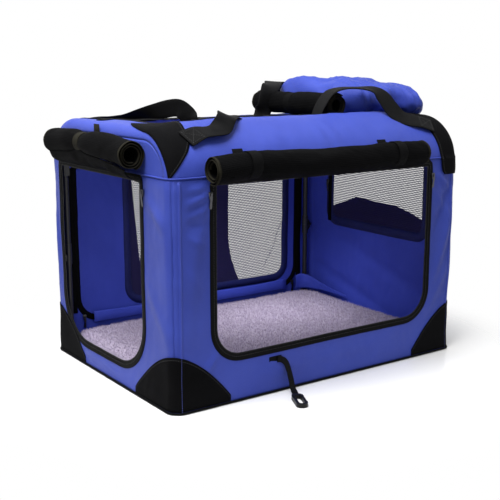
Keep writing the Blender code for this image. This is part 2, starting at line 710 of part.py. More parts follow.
def make_corner_patches():
    """Black patches over the bottom corners, highest on the corner and curving down to both sides."""
    names = ("front_left", "front_right", "back_right", "back_left")
    low_z = 2 * PIPING_R + 3 * FIT
    for corner, (cx, cy, start) in enumerate(CORNERS):
        first, last = CORNER_PATCH_SHORT, CORNER_PATCH_LONG
        if corner % 2:
            first, last = last, first
        stations = []
        half_arc = CORNER_R * math.pi / 4
        steps = 6
        for i in range(steps):
            run = (first - half_arc) * (1 - i / steps)
            stations.append((start, -run, (run + half_arc) / first))
        for i in range(CORNER_STEPS + 1):
            turn = i / CORNER_STEPS
            arm = first if turn < 0.5 else last
            stations.append((start + 90 * turn, 0.0, abs(2 * turn - 1) * half_arc / arm))
        for i in range(1, steps + 1):
            run = (last - half_arc) * i / steps
            stations.append((start + 90, run, (run + half_arc) / last))
        builder = bmesh.new()
        rings = []
        for angle, run, share in stations:
            out = Vector((math.cos(math.radians(angle)), math.sin(math.radians(angle)), 0))
            along = Vector((-out.y, out.x, 0))
            high_z = low_z + CORNER_PATCH_END
            high_z += (CORNER_PATCH_HEIGHT - high_z) * max(0.0, 1 - share ** 1.6)
            foot = Vector((cx, cy, 0)) + along * run
            near = foot + out * (CORNER_R + SKIN_GAP)
            far = foot + out * (CORNER_R + SKIN_GAP + PATCH)
            up = Vector((0, 0, 1))
            rings.append([builder.verts.new(p) for p in (
                near + up * low_z, far + up * low_z, far + up * high_z, near + up * high_z)])
        for here, there in zip(rings, rings[1:]):
            bridge(builder, here, there, True)
        builder.faces.new(rings[0])
        builder.faces.new(rings[-1])
        finish(f"{names[corner]}_corner_patch", builder, "black_fabric")


def shoulder_point(angle, offset, y_sign):
    """A point off the roof's rounded shoulder, at an angle up from the wall."""
    reach = SHOULDER_R + offset
    turn = math.radians(angle)
    return y_sign * (SHOULDER_Y + reach * math.cos(turn)), SHOULDER_Z + reach * math.sin(turn)


def make_shoulder_patches():
    """The four dark patches on the roof's shoulders that the handles are sewn to."""
    for end, side, x_sign, y_sign in leg_places():
        builder = bmesh.new()
        rings = []
        for i in range(SHOULDER_STEPS + 1):
            share = i / SHOULDER_STEPS
            angle = 90 * share
            rise = share / 0.55 if share < 0.55 else 1 - 0.75 * (share - 0.55) / 0.45
            width = SHOULDER_PATCH_TIP + (SHOULDER_PATCH_WIDTH - SHOULDER_PATCH_TIP) * rise
            edge_x = HALF_L - CORNER_R
            ring = []
            for x, offset in ((edge_x, 0), (edge_x - width, 0), (edge_x - width, 1), (edge_x, 1)):
                y, z = shoulder_point(angle, SKIN_GAP + offset * PATCH, y_sign)
                ring.append(builder.verts.new((x_sign * x, y, z)))
            rings.append(ring)
        for here, there in zip(rings, rings[1:]):
            bridge(builder, here, there, True)
        builder.faces.new(rings[0])
        builder.faces.new(rings[-1])
        finish(f"{side}_{end}_handle_patch", builder, "black_fabric")


def add_band(builder, centre, axis, radius, width, thick, sides=ROLL_SIDES):
    """A flat loop of webbing round a rolled door."""
    inner = arc(0, 0, radius, 0, 360 - 360 / sides, sides - 1)
    outer = arc(0, 0, radius + thick, 0, 360 - 360 / sides, sides - 1)
    loops = []
    for outline, depth in ((outer, -width / 2), (outer, width / 2), (inner, width / 2), (inner, -width / 2)):
        loops.append([builder.verts.new(centre + place(axis, u, v, depth)) for u, v in outline])
    for k in range(4):
        bridge(builder, loops[k], loops[(k + 1) % 4], True)


def make_front_roll():
    """The front door rolled up under the roof's front shoulder, held by two ties."""
    roll_y = -(HALF_W + ROLL_STANDOFF + FRONT_ROLL_R)
    roll = bmesh.new()
    ends = [Vector((x, roll_y, FRONT_ROLL_Z)) for x in FRONT_ROLL_X]
    add_round_sweep(roll, ends, FRONT_ROLL_R, ROLL_SIDES, hollow=ROLL_HOLLOW)
    finish("front_door_roll", roll, "black_mesh")
    over = FRONT_ROLL_R + BAND_GAP + TIE_THICK / 2
    seat = SKIN_GAP + TIE_THICK / 2
    for end, x in zip(("left", "right"), FRONT_TIE_X):
        name = f"front_roll_{end}_tie"
        band = bmesh.new()
        centre = Vector((x, roll_y, FRONT_ROLL_Z))
        add_band(band, centre, "x", FRONT_ROLL_R + BAND_GAP, TIE_WIDTH, TIE_THICK)
        tie = finish(name, band, "webbing")
        sewn = [shoulder_point(TIE_TAB_ANGLE - drop, seat, -1) for drop in (0, 6, 12)]
        points = [Vector((x, y, z)) for y, z in sewn] + [centre + Vector((0, 0, over))]
        turns = [math.radians(TIE_TAB_ANGLE - drop) for drop in (0, 6, 12)]
        normals = [Vector((0, -math.cos(t), math.sin(t))) for t in turns] + [Vector((0, 0, 1))]
        tab = bmesh.new()
        add_strap(tab, points, normals, TIE_WIDTH * 0.96, TIE_THICK * 0.9)
        boolean(tie, finish(name + "_tab", tab, "webbing"), "UNION")


def make_left_roll():
    """The end door rolled up, sagging to both sides of its one tie."""
    roll_x = -(HALF_L + ROLL_STANDOFF + LEFT_ROLL_R)
    roll = bmesh.new()
    path = []
    low, high = LEFT_ROLL_Y
    for i in range(9):
        y = low + (high - low) * i / 8
        sag = LEFT_ROLL_SAG * ((y - LEFT_TIE_Y) / (high - low) * 2) ** 2
        path.append(Vector((roll_x, y, LEFT_ROLL_Z - sag)))
    add_round_sweep(roll, path, LEFT_ROLL_R, ROLL_SIDES, hollow=ROLL_HOLLOW)
    finish("left_door_roll", roll, "black_mesh")
    band = bmesh.new()
    centre = Vector((roll_x, LEFT_TIE_Y, LEFT_ROLL_Z))
    add_band(band, centre, "y", LEFT_ROLL_R + BAND_GAP, TIE_WIDTH, TIE_THICK)
    tie = finish("left_roll_tie", band, "webbing")
    tab_x = -HALF_L - SKIN_GAP - TIE_THICK / 2
    points = [Vector((tab_x, LEFT_TIE_Y, z)) for z in (LEFT_ROLL_Z, HEIGHT - LEFT_TAB_DROP)]
    tab = bmesh.new()
    add_strap(tab, points, [Vector((-1, 0, 0))] * 2, TIE_WIDTH * 0.96, TIE_THICK * 0.9)
    boolean(tie, finish("left_roll_tie_tab", tab, "webbing"), "UNION")


def make_top_roll():
    """The roof door rolled up on the right of its opening."""
    top_z = HEIGHT + ROLL_STANDOFF + TOP_ROLL_R
    roll = bmesh.new()
    ends = [Vector((TOP_ROLL_X, y, top_z)) for y in (-TOP_ROLL_HALF, TOP_ROLL_HALF)]
    add_round_sweep(roll, ends, TOP_ROLL_R, ROLL_SIDES, hollow=ROLL_HOLLOW)
    finish("top_door_roll", roll, "black_mesh")
    tie = bmesh.new()
    add_band(tie, Vector((TOP_ROLL_X, TOP_TIE_Y, top_z)), "y", TOP_ROLL_R + BAND_GAP, TIE_WIDTH, TIE_THICK)
    finish("top_roll_tie", tie, "webbing")


def make_bundle():
    """The spare cover lying folded on the right of the roof."""
    x0, x1 = BUNDLE_X
    y0, y1 = BUNDLE_Y
    low_z = HEIGHT + FIT
    shares = (0.0, 0.06, 0.27, 0.62, 0.85, 1.0)
    tops = (0.82, 1.0, 1.0, 0.97, 0.72, 0.0)
    insets = (0.010, 0.0, 0.0, 0.0, 0.006, 0.024)
    swells = (0.0, 0.0, 0.6, 1.0, 1.0, 1.0)
    builder = bmesh.new()
    rings = []
    for share, top, inset, swell in zip(shares, tops, insets, swells):
        x = x0 + (x1 - x0) * share
        high = HEIGHT + BUNDLE_END_RISE + (BUNDLE_RISE - BUNDLE_END_RISE) * top
        top_r = min(BUNDLE_EDGE_R, (high - low_z) * 0.6)
        front = y0 + inset - BUNDLE_FRONT_SWELL * swell
        outline = rounded_box_outline((front, low_z), (y1 - inset, high), BUNDLE_FOOT_R, top_r, 4)
        rings.append([builder.verts.new((x, y, z)) for y, z in outline])
    for here, there in zip(rings, rings[1:]):
        bridge(builder, here, there, True)
    builder.faces.new(rings[0])
    builder.faces.new(rings[-1])
    finish("cover_bundle", builder, "blue_fabric")


# Each handle's route between its two ends: X, distance in from the wall's face,
# height above the roof and the angle of the webbing's broad face.
FRONT_HANDLE_ROUTE = (
    (-0.250, 0.038, -0.006, 55), (-0.226, 0.068, 0.014, 66), (-0.204, 0.098, 0.025, 80),
    (-0.182, 0.120, 0.014, 88), (-0.158, 0.125, -0.008, 90), (-0.110, 0.126, -0.024, 90),
    (-0.030, 0.126, -0.030, 90), (0.030, 0.126, -0.024, 90), (0.058, 0.126, -0.004, 90),
    (0.074, 0.126, 0.026, 90), (0.096, 0.126, 0.050, 90), (0.128, 0.122, 0.058, 86),
    (0.168, 0.106, 0.058, 78), (0.206, 0.078, 0.045, 66), (0.238, 0.050, 0.016, 56),
    (0.265, 0.036, -0.010, 50),
)
BACK_HANDLE_ROUTE = (
    (-0.262, 0.038, -0.006, 55), (-0.225, 0.060, 0.008, 62), (-0.185, 0.085, 0.022, 72),
    (-0.140, 0.102, 0.034, 80), (-0.100, 0.114, 0.041, 85), (-0.074, 0.122, 0.030, 90),
    (-0.054, 0.126, 0.002, 90), (-0.020, 0.126, -0.024, 90), (0.028, 0.126, -0.026, 90),
    (0.058, 0.126, -0.004, 90), (0.074, 0.126, 0.026, 90), (0.100, 0.124, 0.052, 90),
    (0.140, 0.108, 0.058, 80), (0.190, 0.082, 0.056, 70), (0.235, 0.056, 0.024, 60),
    (0.266, 0.038, -0.006, 52),
)


def make_handle(name, route, y_sign):
    end_y, end_z = shoulder_point(HANDLE_ANGLE, HANDLE_STANDOFF, y_sign)
    ends = [(-HANDLE_END_X, end_y, end_z, HANDLE_ANGLE), (HANDLE_END_X, end_y, end_z, HANDLE_ANGLE)]
    middle = [(x, y_sign * (HALF_W - inset), HEIGHT + rise, angle) for x, inset, rise, angle in route]
    stops = ends[:1] + middle + ends[1:]
    points, normals = [], []
    for x, y, z, angle in stops:
        turn = math.radians(angle)
        points.append((x, y, z))
        normals.append((0, y_sign * math.cos(turn), math.sin(turn)))
    builder = bmesh.new()
    add_strap(builder, smooth_path(points, 3), smooth_path(normals, 3), WEBBING_WIDTH, WEBBING)
    finish(name, builder, "webbing")


def make_slider(name, u, v, axis, face, out):
    """A zip slider with its hanging pull, on a wall whose outward direction is out."""
    wide, tall, deep = SLIDER
    pull_wide, pull_tall, pull_deep = PULL
    near, far = face, face + out * deep
    body = rounded_box_outline((u - wide / 2, v - tall / 2), (u + wide / 2, v + tall / 2), 0.002, 0.002, 2)
    slider = prism(name, body, axis, min(near, far), max(near, far), "slider_metal")
    top, low = v, v - tall / 2 - pull_tall
    pull = rounded_box_outline((u - pull_wide / 2, low), (u + pull_wide / 2, top), 0.0025, 0.001, 3)
    middle = (near + far) / 2
    half = pull_deep / 2
    boolean(slider, prism(name + "_pull", pull, axis, middle - half, middle + half, "slider_metal"), "UNION")


def make_sliders():
    stand = 2 * SKIN_GAP + PATCH
    for name, (x, z) in zip(("front_left_slider", "front_right_slider"), FRONT_SLIDERS):
        make_slider(name, x, z, "y", -HALF_W - stand, -1)
    y, z = LEFT_SLIDER
    make_slider("left_door_slider", y, z, "x", -HALF_L - stand, -1)
    for name, x in zip(("back_left_slider", "back_right_slider"), BACK_SLIDERS_X):
        make_slider(name, x, BACK_SLIDER_Z, "y", HALF_W - CLOTH - stand, -1)


TETHER_ROUTE = (
    (-0.126, 0.0044, 0.0660), (-0.117, 0.0052, 0.0640), (-0.108, 0.0070, 0.0560),
    (-0.104, 0.0105, 0.0420), (-0.103, 0.0160, 0.0260), (-0.105, 0.0240, 0.0120),
    (-0.109, 0.0350, 0.0068), (-0.114, 0.0460, 0.0052),
)
TETHER_FACES = (
    (0, -1, 0), (0, -1, 0), (0.1, -1, 0.05), (0.1, -1, 0.15), (0, -1, 0.35), (0, -0.75, 0.9),
    (0, -0.1, 1), (0, 0, 1),
)


def make_tether():
    """A tab, a short webbing strap and a snap hook that lies in front of the carrier."""
    face = -HALF_W - SKIN_GAP
    tab = rounded_box_outline(
        (TETHER_TAB_X[0], TETHER_TAB_Z[0]), (TETHER_TAB_X[1], TETHER_TAB_Z[1]), 0.002, 0.002, 2)
    prism("tether_tab", tab, "y", face - TETHER_TAB, face, "webbing")
    points = [(x, -HALF_W - out, z) for x, out, z in TETHER_ROUTE]
    strap = bmesh.new()
    add_strap(strap, smooth_path(points, 3), smooth_path(TETHER_FACES, 3), TETHER_WIDTH, TETHER_THICK)
    finish("tether_strap", strap, "webbing")

    end = Vector(points[-1])
    before = Vector(points[-2])
    along = Vector((end.x - before.x, end.y - before.y, 0)).normalized()
    across = Vector((-along.y, along.x, 0))
    start = Vector((end.x, end.y, 0)) + along * FIT

    def local(outline):
        return [(start.x + along.x * u + across.x * v, start.y + along.y * u + across.y * v)
                for u, v in outline]

    low = 2 * FIT
    high = low + HOOK_THICK
    half = HOOK_WIDTH / 2
    bar = HOOK_BAR
    outer = rounded_box_outline((0, -half), (HOOK_LENGTH, half), 0.9 * half, 0.9 * half, 4)
    hook = prism("snap_hook", local(outer), "z", low, high, "black_plastic")
    slot = rounded_box_outline((1.6 * bar, bar - half), (HOOK_LENGTH - bar, half - bar), 0.8 * (half - bar),
                               0.8 * (half - bar), 3)
    boolean(hook, prism("snap_hook_slot", local(slot), "z", low - bar, high + bar, "black_plastic"), "DIFFERENCE")
    gate_from, gate_to = 3 * bar, HOOK_LENGTH - 3 * bar
    mouth = [(gate_from, 0), (gate_to, 0), (gate_to, 2 * half), (gate_from, 2 * half)]
    boolean(hook, prism("snap_hook_mouth", local(mouth), "z", low - bar, high + bar, "black_plastic"), "DIFFERENCE")
    gate_half = bar / 2 - FIT / 2
    middle = half - bar / 2
    pivot = gate_from + FIT + gate_half
    outline = arc(pivot, middle, gate_half, 90, 270, 6)
    outline += [(gate_to - FIT, middle - gate_half), (gate_to - FIT, middle + gate_half)]
    prism("hook_gate", local(outline), "z", low + FIT, high - FIT, "black_plastic")


make_floor()
make_base_frame()
make_legs()
make_top_frame()
make_walls()
make_right_window()
make_back_door()
make_roof()
make_corner_patches()
make_shoulder_patches()
make_front_roll()
make_left_roll()
make_top_roll()
make_bundle()
make_handle("front_handle", FRONT_HANDLE_ROUTE, -1)
make_handle("back_handle", BACK_HANDLE_ROUTE, 1)
make_sliders()
make_tether()
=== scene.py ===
# Looks of the soft folding pet carrier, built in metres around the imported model.

import math

import bmesh
import bpy
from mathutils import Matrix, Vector, noise


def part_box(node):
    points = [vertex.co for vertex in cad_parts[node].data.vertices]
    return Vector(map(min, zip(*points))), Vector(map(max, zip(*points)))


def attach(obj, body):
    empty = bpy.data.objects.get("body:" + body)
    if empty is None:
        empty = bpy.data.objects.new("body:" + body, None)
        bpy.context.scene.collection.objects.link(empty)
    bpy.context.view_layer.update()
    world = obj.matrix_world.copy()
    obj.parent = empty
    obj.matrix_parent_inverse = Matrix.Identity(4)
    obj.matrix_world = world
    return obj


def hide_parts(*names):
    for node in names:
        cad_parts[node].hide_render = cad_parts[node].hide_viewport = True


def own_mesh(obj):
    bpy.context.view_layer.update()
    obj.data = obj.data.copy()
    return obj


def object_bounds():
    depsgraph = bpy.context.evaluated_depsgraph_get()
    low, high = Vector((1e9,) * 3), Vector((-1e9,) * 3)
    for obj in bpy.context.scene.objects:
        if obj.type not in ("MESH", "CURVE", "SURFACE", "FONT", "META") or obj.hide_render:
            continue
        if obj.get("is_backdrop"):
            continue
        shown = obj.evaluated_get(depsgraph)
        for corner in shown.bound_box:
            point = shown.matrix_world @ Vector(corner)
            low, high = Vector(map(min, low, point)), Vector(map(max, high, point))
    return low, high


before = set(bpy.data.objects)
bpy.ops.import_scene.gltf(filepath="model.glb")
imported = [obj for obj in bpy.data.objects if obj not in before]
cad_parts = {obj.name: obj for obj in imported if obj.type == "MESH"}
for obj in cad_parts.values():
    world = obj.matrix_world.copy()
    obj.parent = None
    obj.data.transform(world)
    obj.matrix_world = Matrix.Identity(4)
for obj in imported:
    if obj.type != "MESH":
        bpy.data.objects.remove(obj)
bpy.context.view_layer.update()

scene = bpy.context.scene

cover = {
    "halfLength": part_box("bottom_cover")[1].x,
    "halfWidth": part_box("bottom_cover")[1].y,
    "lowZ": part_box("front_wall")[0].z,
    "seamZ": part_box("roof_cover")[0].z + 0.0135,
    "topZ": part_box("roof_cover")[1].z,
    "cornerR": 0.022,
    "shoulderR": 0.090,
    "cloth": 0.0018,
    "foldedShare": 0.247,
}
shoulderY = cover["halfWidth"] - cover["shoulderR"]
shoulderZ = cover["topZ"] - cover["shoulderR"]
up = Vector((0, 0, 1))


def clamp(value):
    return max(0.0, min(1.0, value))


def between(pair, share):
    return pair[0] + (pair[1] - pair[0]) * share


def ridge(place):
    return 1 - 2 * abs(noise.noise(place))


def camel(node):
    first, *others = node.split("_")
    return first + "".join(word.capitalize() for word in others)


# Colour and nodes

def linear(hexColour):
    channels = [int(hexColour[i:i + 2], 16) / 255 for i in (1, 3, 5)]
    return tuple(c / 12.92 if c <= 0.04045 else ((c + 0.055) / 1.055) ** 2.4 for c in channels) + (1.0,)


def addNode(tree, kind, settings=None, values=None, links=None):
    node = tree.nodes.new(kind)
    for key, value in (settings or {}).items():
        setattr(node, key, value)
    for key, value in (values or {}).items():
        node.inputs[key].default_value = value
    for key, socket in (links or {}).items():
        tree.links.new(socket, node.inputs[key])
    return node


def newMaterial(name, values):
    material = bpy.data.materials.new(name)
    material.use_nodes = True
    tree = material.node_tree
    shader = tree.nodes["Principled BSDF"]
    for key, value in values.items():
        shader.inputs[key].default_value = value
    return material, tree, shader


def mixTones(tree, light, dark, share):
    return addNode(tree, "ShaderNodeMix", {"data_type": "RGBA"}, {6: linear(dark), 7: linear(light)},
                   {0: share}).outputs[2]


def finishShader(tree, shader, colour, height, strength, distance):
    tree.links.new(colour, shader.inputs["Base Color"])
    bump = addNode(tree, "ShaderNodeBump", None, {"Strength": strength, "Distance": distance}, {"Height": height})
    tree.links.new(bump.outputs[0], shader.inputs["Normal"])


def waveScale(spacing):
    return 2 * math.pi / 20 / spacing


def threadPattern(tree, coords, spacingU, spacingV):
    bands = []
    for direction, spacing in (("X", spacingU), ("Y", spacingV)):
        wave = addNode(tree, "ShaderNodeTexWave", {"bands_direction": direction, "wave_profile": "SIN"},
                       {"Scale": waveScale(spacing), "Distortion": 0.35, "Detail": 1.0}, {"Vector": coords})
        bands.append(wave.outputs["Fac"])
    return addNode(tree, "ShaderNodeMath", {"operation": "MAXIMUM"}, links={0: bands[0], 1: bands[1]}).outputs[0]


def wovenCloth(name, light, dark, look, coordName="UV"):
    values = {"Roughness": look["roughness"], "Sheen Weight": look["sheen"], "Sheen Roughness": 0.35,
              "Specular IOR Level": look["specular"]}
    material, tree, shader = newMaterial(name, values)
    coords = addNode(tree, "ShaderNodeTexCoord").outputs[coordName]
    thread = threadPattern(tree, coords, look["thread"], look["thread"])
    place = addNode(tree, "ShaderNodeTexCoord").outputs["Object"]
    cloud = addNode(tree, "ShaderNodeTexNoise", None, {"Scale": 9.0, "Detail": 4.0, "Roughness": 0.6},
                    {"Vector": place}).outputs["Fac"]
    fine = addNode(tree, "ShaderNodeTexNoise", None, {"Scale": 420.0, "Detail": 2.0}, {"Vector": place}).outputs["Fac"]
    tone = addNode(tree, "ShaderNodeMath", {"operation": "MULTIPLY_ADD"}, {1: 0.35}, {0: fine, 2: cloud}).outputs[0]
    shade = addNode(tree, "ShaderNodeMapRange", None, {"From Min": 0.35, "From Max": 0.95}, {"Value": tone}).outputs[0]
    colour = mixTones(tree, light, dark, shade)
    threadTone = addNode(tree, "ShaderNodeMapRange", None, {"To Min": look["gap"], "To Max": 1.0}, {"Value": thread})
    final = addNode(tree, "ShaderNodeMix", {"data_type": "RGBA", "blend_type": "MULTIPLY"}, {0: 1.0},
                    {6: colour, 7: threadTone.outputs[0]})
    height = addNode(tree, "ShaderNodeMath", {"operation": "MULTIPLY_ADD"}, {1: 0.5}, {0: fine, 2: thread}).outputs[0]
    finishShader(tree, shader, final.outputs[2], height, look["bump"], 0.0006)
    return material


def webbingCloth(name, light, dark, look):
    values = {"Roughness": look["roughness"], "Specular IOR Level": 0.06}
    material, tree, shader = newMaterial(name, values)
    coords = addNode(tree, "ShaderNodeTexCoord").outputs["UV"]
    ribs = addNode(tree, "ShaderNodeTexWave", {"bands_direction": "Y"},
                   {"Scale": waveScale(look["rib"]), "Distortion": 0.2}, {"Vector": coords}).outputs["Fac"]
    picks = addNode(tree, "ShaderNodeTexWave", {"bands_direction": "DIAGONAL"},
                    {"Scale": waveScale(look["pick"]), "Distortion": 0.3}, {"Vector": coords}).outputs["Fac"]
    height = addNode(tree, "ShaderNodeMath", {"operation": "MULTIPLY_ADD"}, {1: 0.5}, {0: picks, 2: ribs}).outputs[0]
    finishShader(tree, shader, mixTones(tree, light, dark, ribs), height, 0.6, 0.0005)
    return material


# An open knit lets the view through between its threads; a rolled one is closed
def knitMesh(name, light, dark, look):
    values = {"Roughness": look["roughness"], "Specular IOR Level": look["specular"]}
    material, tree, shader = newMaterial(name, values)
    coords = addNode(tree, "ShaderNodeSeparateXYZ",
                     links={0: addNode(tree, "ShaderNodeTexCoord").outputs["UV"]}).outputs
    # each row of holes stands half a hole along
    staggered = addNode(tree, "ShaderNodeMath", {"operation": "MULTIPLY_ADD"}, {1: 0.5},
                        {0: coords["Y"], 2: coords["X"]})
    place = addNode(tree, "ShaderNodeCombineXYZ", links={0: staggered.outputs[0], 1: coords["Y"]}).outputs[0]
    cells = addNode(tree, "ShaderNodeTexVoronoi", {"feature": "DISTANCE_TO_EDGE"},
                    {"Scale": 1 / look["hole"], "Randomness": 0.0}, {"Vector": place}).outputs["Distance"]
    thread = addNode(tree, "ShaderNodeMapRange", None, {"From Min": 0.08, "From Max": 0.3, "To Min": 1.0,
                                                        "To Max": 0.0}, {"Value": cells}).outputs[0]
    if look["open"]:
        solid = addNode(tree, "ShaderNodeMath", {"operation": "LESS_THAN"}, {1: look["open"]}, {0: cells})
        tree.links.new(solid.outputs[0], shader.inputs["Alpha"])
    finishShader(tree, shader, mixTones(tree, light, dark, thread), thread, 0.8, 0.0008)
    return material


def speckledSolid(name, light, dark, values, grain, strength, distance):
    material, tree, shader = newMaterial(name, values)
    coords = addNode(tree, "ShaderNodeTexCoord").outputs["Object"]
    speck = addNode(tree, "ShaderNodeTexNoise", None, {"Scale": 1 / grain, "Detail": 5.0, "Roughness": 0.65},
                    {"Vector": coords}).outputs["Fac"]
    shade = addNode(tree, "ShaderNodeMapRange", None, {"From Min": 0.3, "From Max": 0.7}, {"Value": speck}).outputs[0]
    finishShader(tree, shader, mixTones(tree, light, dark, shade), speck, strength, distance)
    return material


clothLook = {"roughness": 0.5, "sheen": 0.05, "specular": 0.24, "thread": 0.0011, "gap": 0.80, "bump": 0.45}
blackLook = {"roughness": 0.75, "sheen": 0.0, "specular": 0.03, "thread": 0.0013, "gap": 0.55, "bump": 0.6}

# Oxford-woven polyester, dyed and coated: an even satin blue, its 0.5 mm threads drawn 1.1 mm apart to show
bluePolyester = wovenCloth("wovenPolyesterBlue", "#384aac", "#2d3d9a", clothLook)
# Its coated inner face, with painted light: the blue set deeper and brighter to stand in for daylight through the weave
liningPaintedGlow = wovenCloth("wovenPolyesterInnerPaintedGlow", "#4859d6", "#3d4dc4", clothLook)
# The same cloth where it is turned in, its colour painted dark with the shade it lies in
shadePaintedPolyester = wovenCloth("wovenPolyesterShaded", "#1c2468", "#141a50", clothLook)
# The same cloth on a puffed piece, which has no flat cut to follow
foldedPolyester = wovenCloth("wovenPolyesterFolded", "#384aac", "#2a3a94", clothLook, "Object")
# Coarse black polyester of the wear patches: dull, nearly no highlight
blackPolyester = wovenCloth("wovenPolyesterBlack", "#0e0e10", "#060607", blackLook)
# Woven nylon webbing: ribs along its length with a diagonal pick
nylonWebbing = webbingCloth("wovenNylonWebbing", "#111112", "#050506",
                            {"roughness": 0.62, "rib": 0.0022, "pick": 0.0018})
# Zip tape and binding: a tight narrow rib
bindingTape = webbingCloth("wovenBindingTape", "#0d0d0e", "#050506", {"roughness": 0.7, "rib": 0.0012, "pick": 0.0012})
# Warp-knitted black mesh, rolled up in many layers: small dark cells with a silky thread
rolledMesh = knitMesh("warpKnitMeshRolled", "#0a0a0b", "#020203",
                      {"roughness": 0.75, "specular": 0.03, "hole": 0.0026, "open": 0})
# Single layer of the same knit: dark threads round 2 mm holes, drawn 4.2 mm apart to show
windowKnit = knitMesh("warpKnitMeshWindow", "#393460", "#24214a",
                      {"roughness": 0.7, "specular": 0.06, "hole": 0.0042, "open": 0.217})
# Soft black tape of the ties
tieTape = webbingCloth("wovenTieTape", "#080809", "#020203", {"roughness": 0.8, "rib": 0.0014, "pick": 0.0014})
# Olive-black binding along the rolled doors' edges
hemTape = webbingCloth("wovenHemTape", "#24221a", "#13120d", {"roughness": 0.7, "rib": 0.0012, "pick": 0.0012})
# Polyester plush: matt, pinkish white, its pile made in the mesh
plushPile = speckledSolid("polyesterPlush", "#bdb0c9", "#9d90a8",
                          {"Roughness": 0.95, "Sheen Weight": 0.3, "Sheen Roughness": 0.6}, 0.005, 0.6, 0.0014)
# Powder-coated steel tube: dark, slightly pebbled
powderSteel = speckledSolid("powderCoatedSteel", "#1d1d20", "#141417", {"Roughness": 0.45, "Coat Weight": 0.2},
                            0.0012, 0.15, 0.0002)
# Die-cast zinc, nickel plated: bright with soft edges
platedZinc = speckledSolid("nickelPlatedZinc", "#5c5c60", "#404044", {"Metallic": 1.0, "Roughness": 0.32},
                           0.0015, 0.05, 0.0001)
# Injection-moulded acetal of the snap hook: black, semi-gloss
mouldedAcetal = speckledSolid("mouldedAcetal", "#0d0d0e", "#070708", {"Roughness": 0.45, "Specular IOR Level": 0.2},
                              0.001, 0.08, 0.0001)
# Nylon coil of the zips: black, glossy in small points
coilNylon = speckledSolid("nylonCoilZip", "#19191b", "#0c0c0d", {"Roughness": 0.4}, 0.001, 0.1, 0.0001)
# Hardboard of the floor, under the mat
hardboard = speckledSolid("hardboard", "#5a4a3a", "#4a3c2e", {"Roughness": 0.8}, 0.003, 0.3, 0.0003)
# Sewing thread, black polyester
sewingThread = speckledSolid("blackSewingThread", "#1b1b1d", "#101012", {"Roughness": 0.6}, 0.0008, 0.1, 0.0001)
# Sewing thread matched to the blue cloth, a little lighter
blueThread = speckledSolid("blueSewingThread", "#525fbe", "#434fa8", {"Roughness": 0.6}, 0.0008, 0.1, 0.0001)
print("materials made")


# Mesh tools

def addObject(name, data):
    made = bpy.data.objects.new(name, data)
    scene.collection.objects.link(made)
    return made


def newPiece(name, vertices, faces, material, uvs=None):
    mesh = bpy.data.meshes.new(name)
    mesh.from_pydata([tuple(v) for v in vertices], [], faces)
    if uvs is not None:
        layer = mesh.uv_layers.new(name="cut")
        for loop in mesh.loops:
            layer.data[loop.index].uv = uvs[loop.vertex_index]
    mesh.validate()
    mesh.shade_smooth()
    mesh.materials.append(material)
    return addObject(name, mesh)


def thicken(piece, thickness, lining=None, offset=-1.0):
    modifier = piece.modifiers.new("thickness", "SOLIDIFY")
    if lining is not None:
        piece.data.materials.append(lining)
        modifier.material_offset = 1
    modifier.thickness = thickness
    modifier.offset = offset
    modifier.use_even_offset = False
    return piece


def bake(piece):
    graph = bpy.context.evaluated_depsgraph_get()
    made = bpy.data.meshes.new_from_object(piece.evaluated_get(graph), preserve_all_data_layers=True, depsgraph=graph)
    piece.modifiers.clear()
    piece.data = made
    return piece


def dress(piece, body, nodes=(), folds=False):
    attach(piece, body)
    if nodes:
        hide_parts(*nodes)
    if folds:
        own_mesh(piece)
    return piece


def ringFaces(rings, closedAround, closedAlong=False, capped=False):
    faces = []
    size = len(rings[0])
    count = len(rings)
    for i in range(count if closedAlong else count - 1):
        here, there = rings[i], rings[(i + 1) % count]
        for k in range(size if closedAround else size - 1):
            j = (k + 1) % size
            faces.append((here[k], here[j], there[j], there[k]))
    if capped:
        faces.append(tuple(reversed(rings[0])))
        faces.append(tuple(rings[-1]))
    return faces


def settle(builder, mesh):
    bmesh.ops.recalc_face_normals(builder, faces=builder.faces)
    builder.to_mesh(mesh)
    builder.free()


def sweep(name, rows, material, closedAround=True, closedAlong=False, capped=False, uvs=None):
    vertices = [p for row in rows for p in row]
    size = len(rows[0])
    rings = [list(range(i * size, (i + 1) * size)) for i in range(len(rows))]
    piece = newPiece(name, vertices, ringFaces(rings, closedAround, closedAlong, capped), material, uvs)
    builder = bmesh.new()
    builder.from_mesh(piece.data)
    settle(builder, piece.data)
    return piece


def arc(cu, cv, radius, start, end, steps):
    turns = [math.radians(start + (end - start) * i / steps) for i in range(steps + 1)]
    return [(cu + radius * math.cos(t), cv + radius * math.sin(t)) for t in turns]


def roundedOutline(low, high, bottomR, topR, steps=10):
    (u0, v0), (u1, v1) = low, high
    return (arc(u0 + bottomR, v0 + bottomR, bottomR, 180, 270, steps)
            + arc(u1 - bottomR, v0 + bottomR, bottomR, 270, 360, steps)
            + arc(u1 - topR, v1 - topR, topR, 0, 90, steps)
            + arc(u0 + topR, v1 - topR, topR, 90, 180, steps))


def evenly(outline, step, closed=True):
    points = [Vector((p[0], p[1], 0)) for p in outline]
    if closed:
        points.append(points[0])
    lengths = [(b - a).length for a, b in zip(points, points[1:])]
    count = max(3, round(sum(lengths) / step))
    made, travelled, index = [], 0.0, 0
    for i in range(count if closed else count + 1):
        target = sum(lengths) * i / count
        while index < len(lengths) - 1 and travelled + lengths[index] < target:
            travelled += lengths[index]
            index += 1
        share = (target - travelled) / max(lengths[index], 1e-9)
        made.append(points[index].lerp(points[index + 1], min(share, 1.0)))
    return [(p.x, p.y) for p in made]


def inside(point, outline):
    u, v = point
    hit = False
    for (au, av), (bu, bv) in zip(outline, outline[1:] + outline[:1]):
        if (av > v) != (bv > v) and u < (bu - au) * (v - av) / (bv - av) + au:
            hit = not hit
    return hit


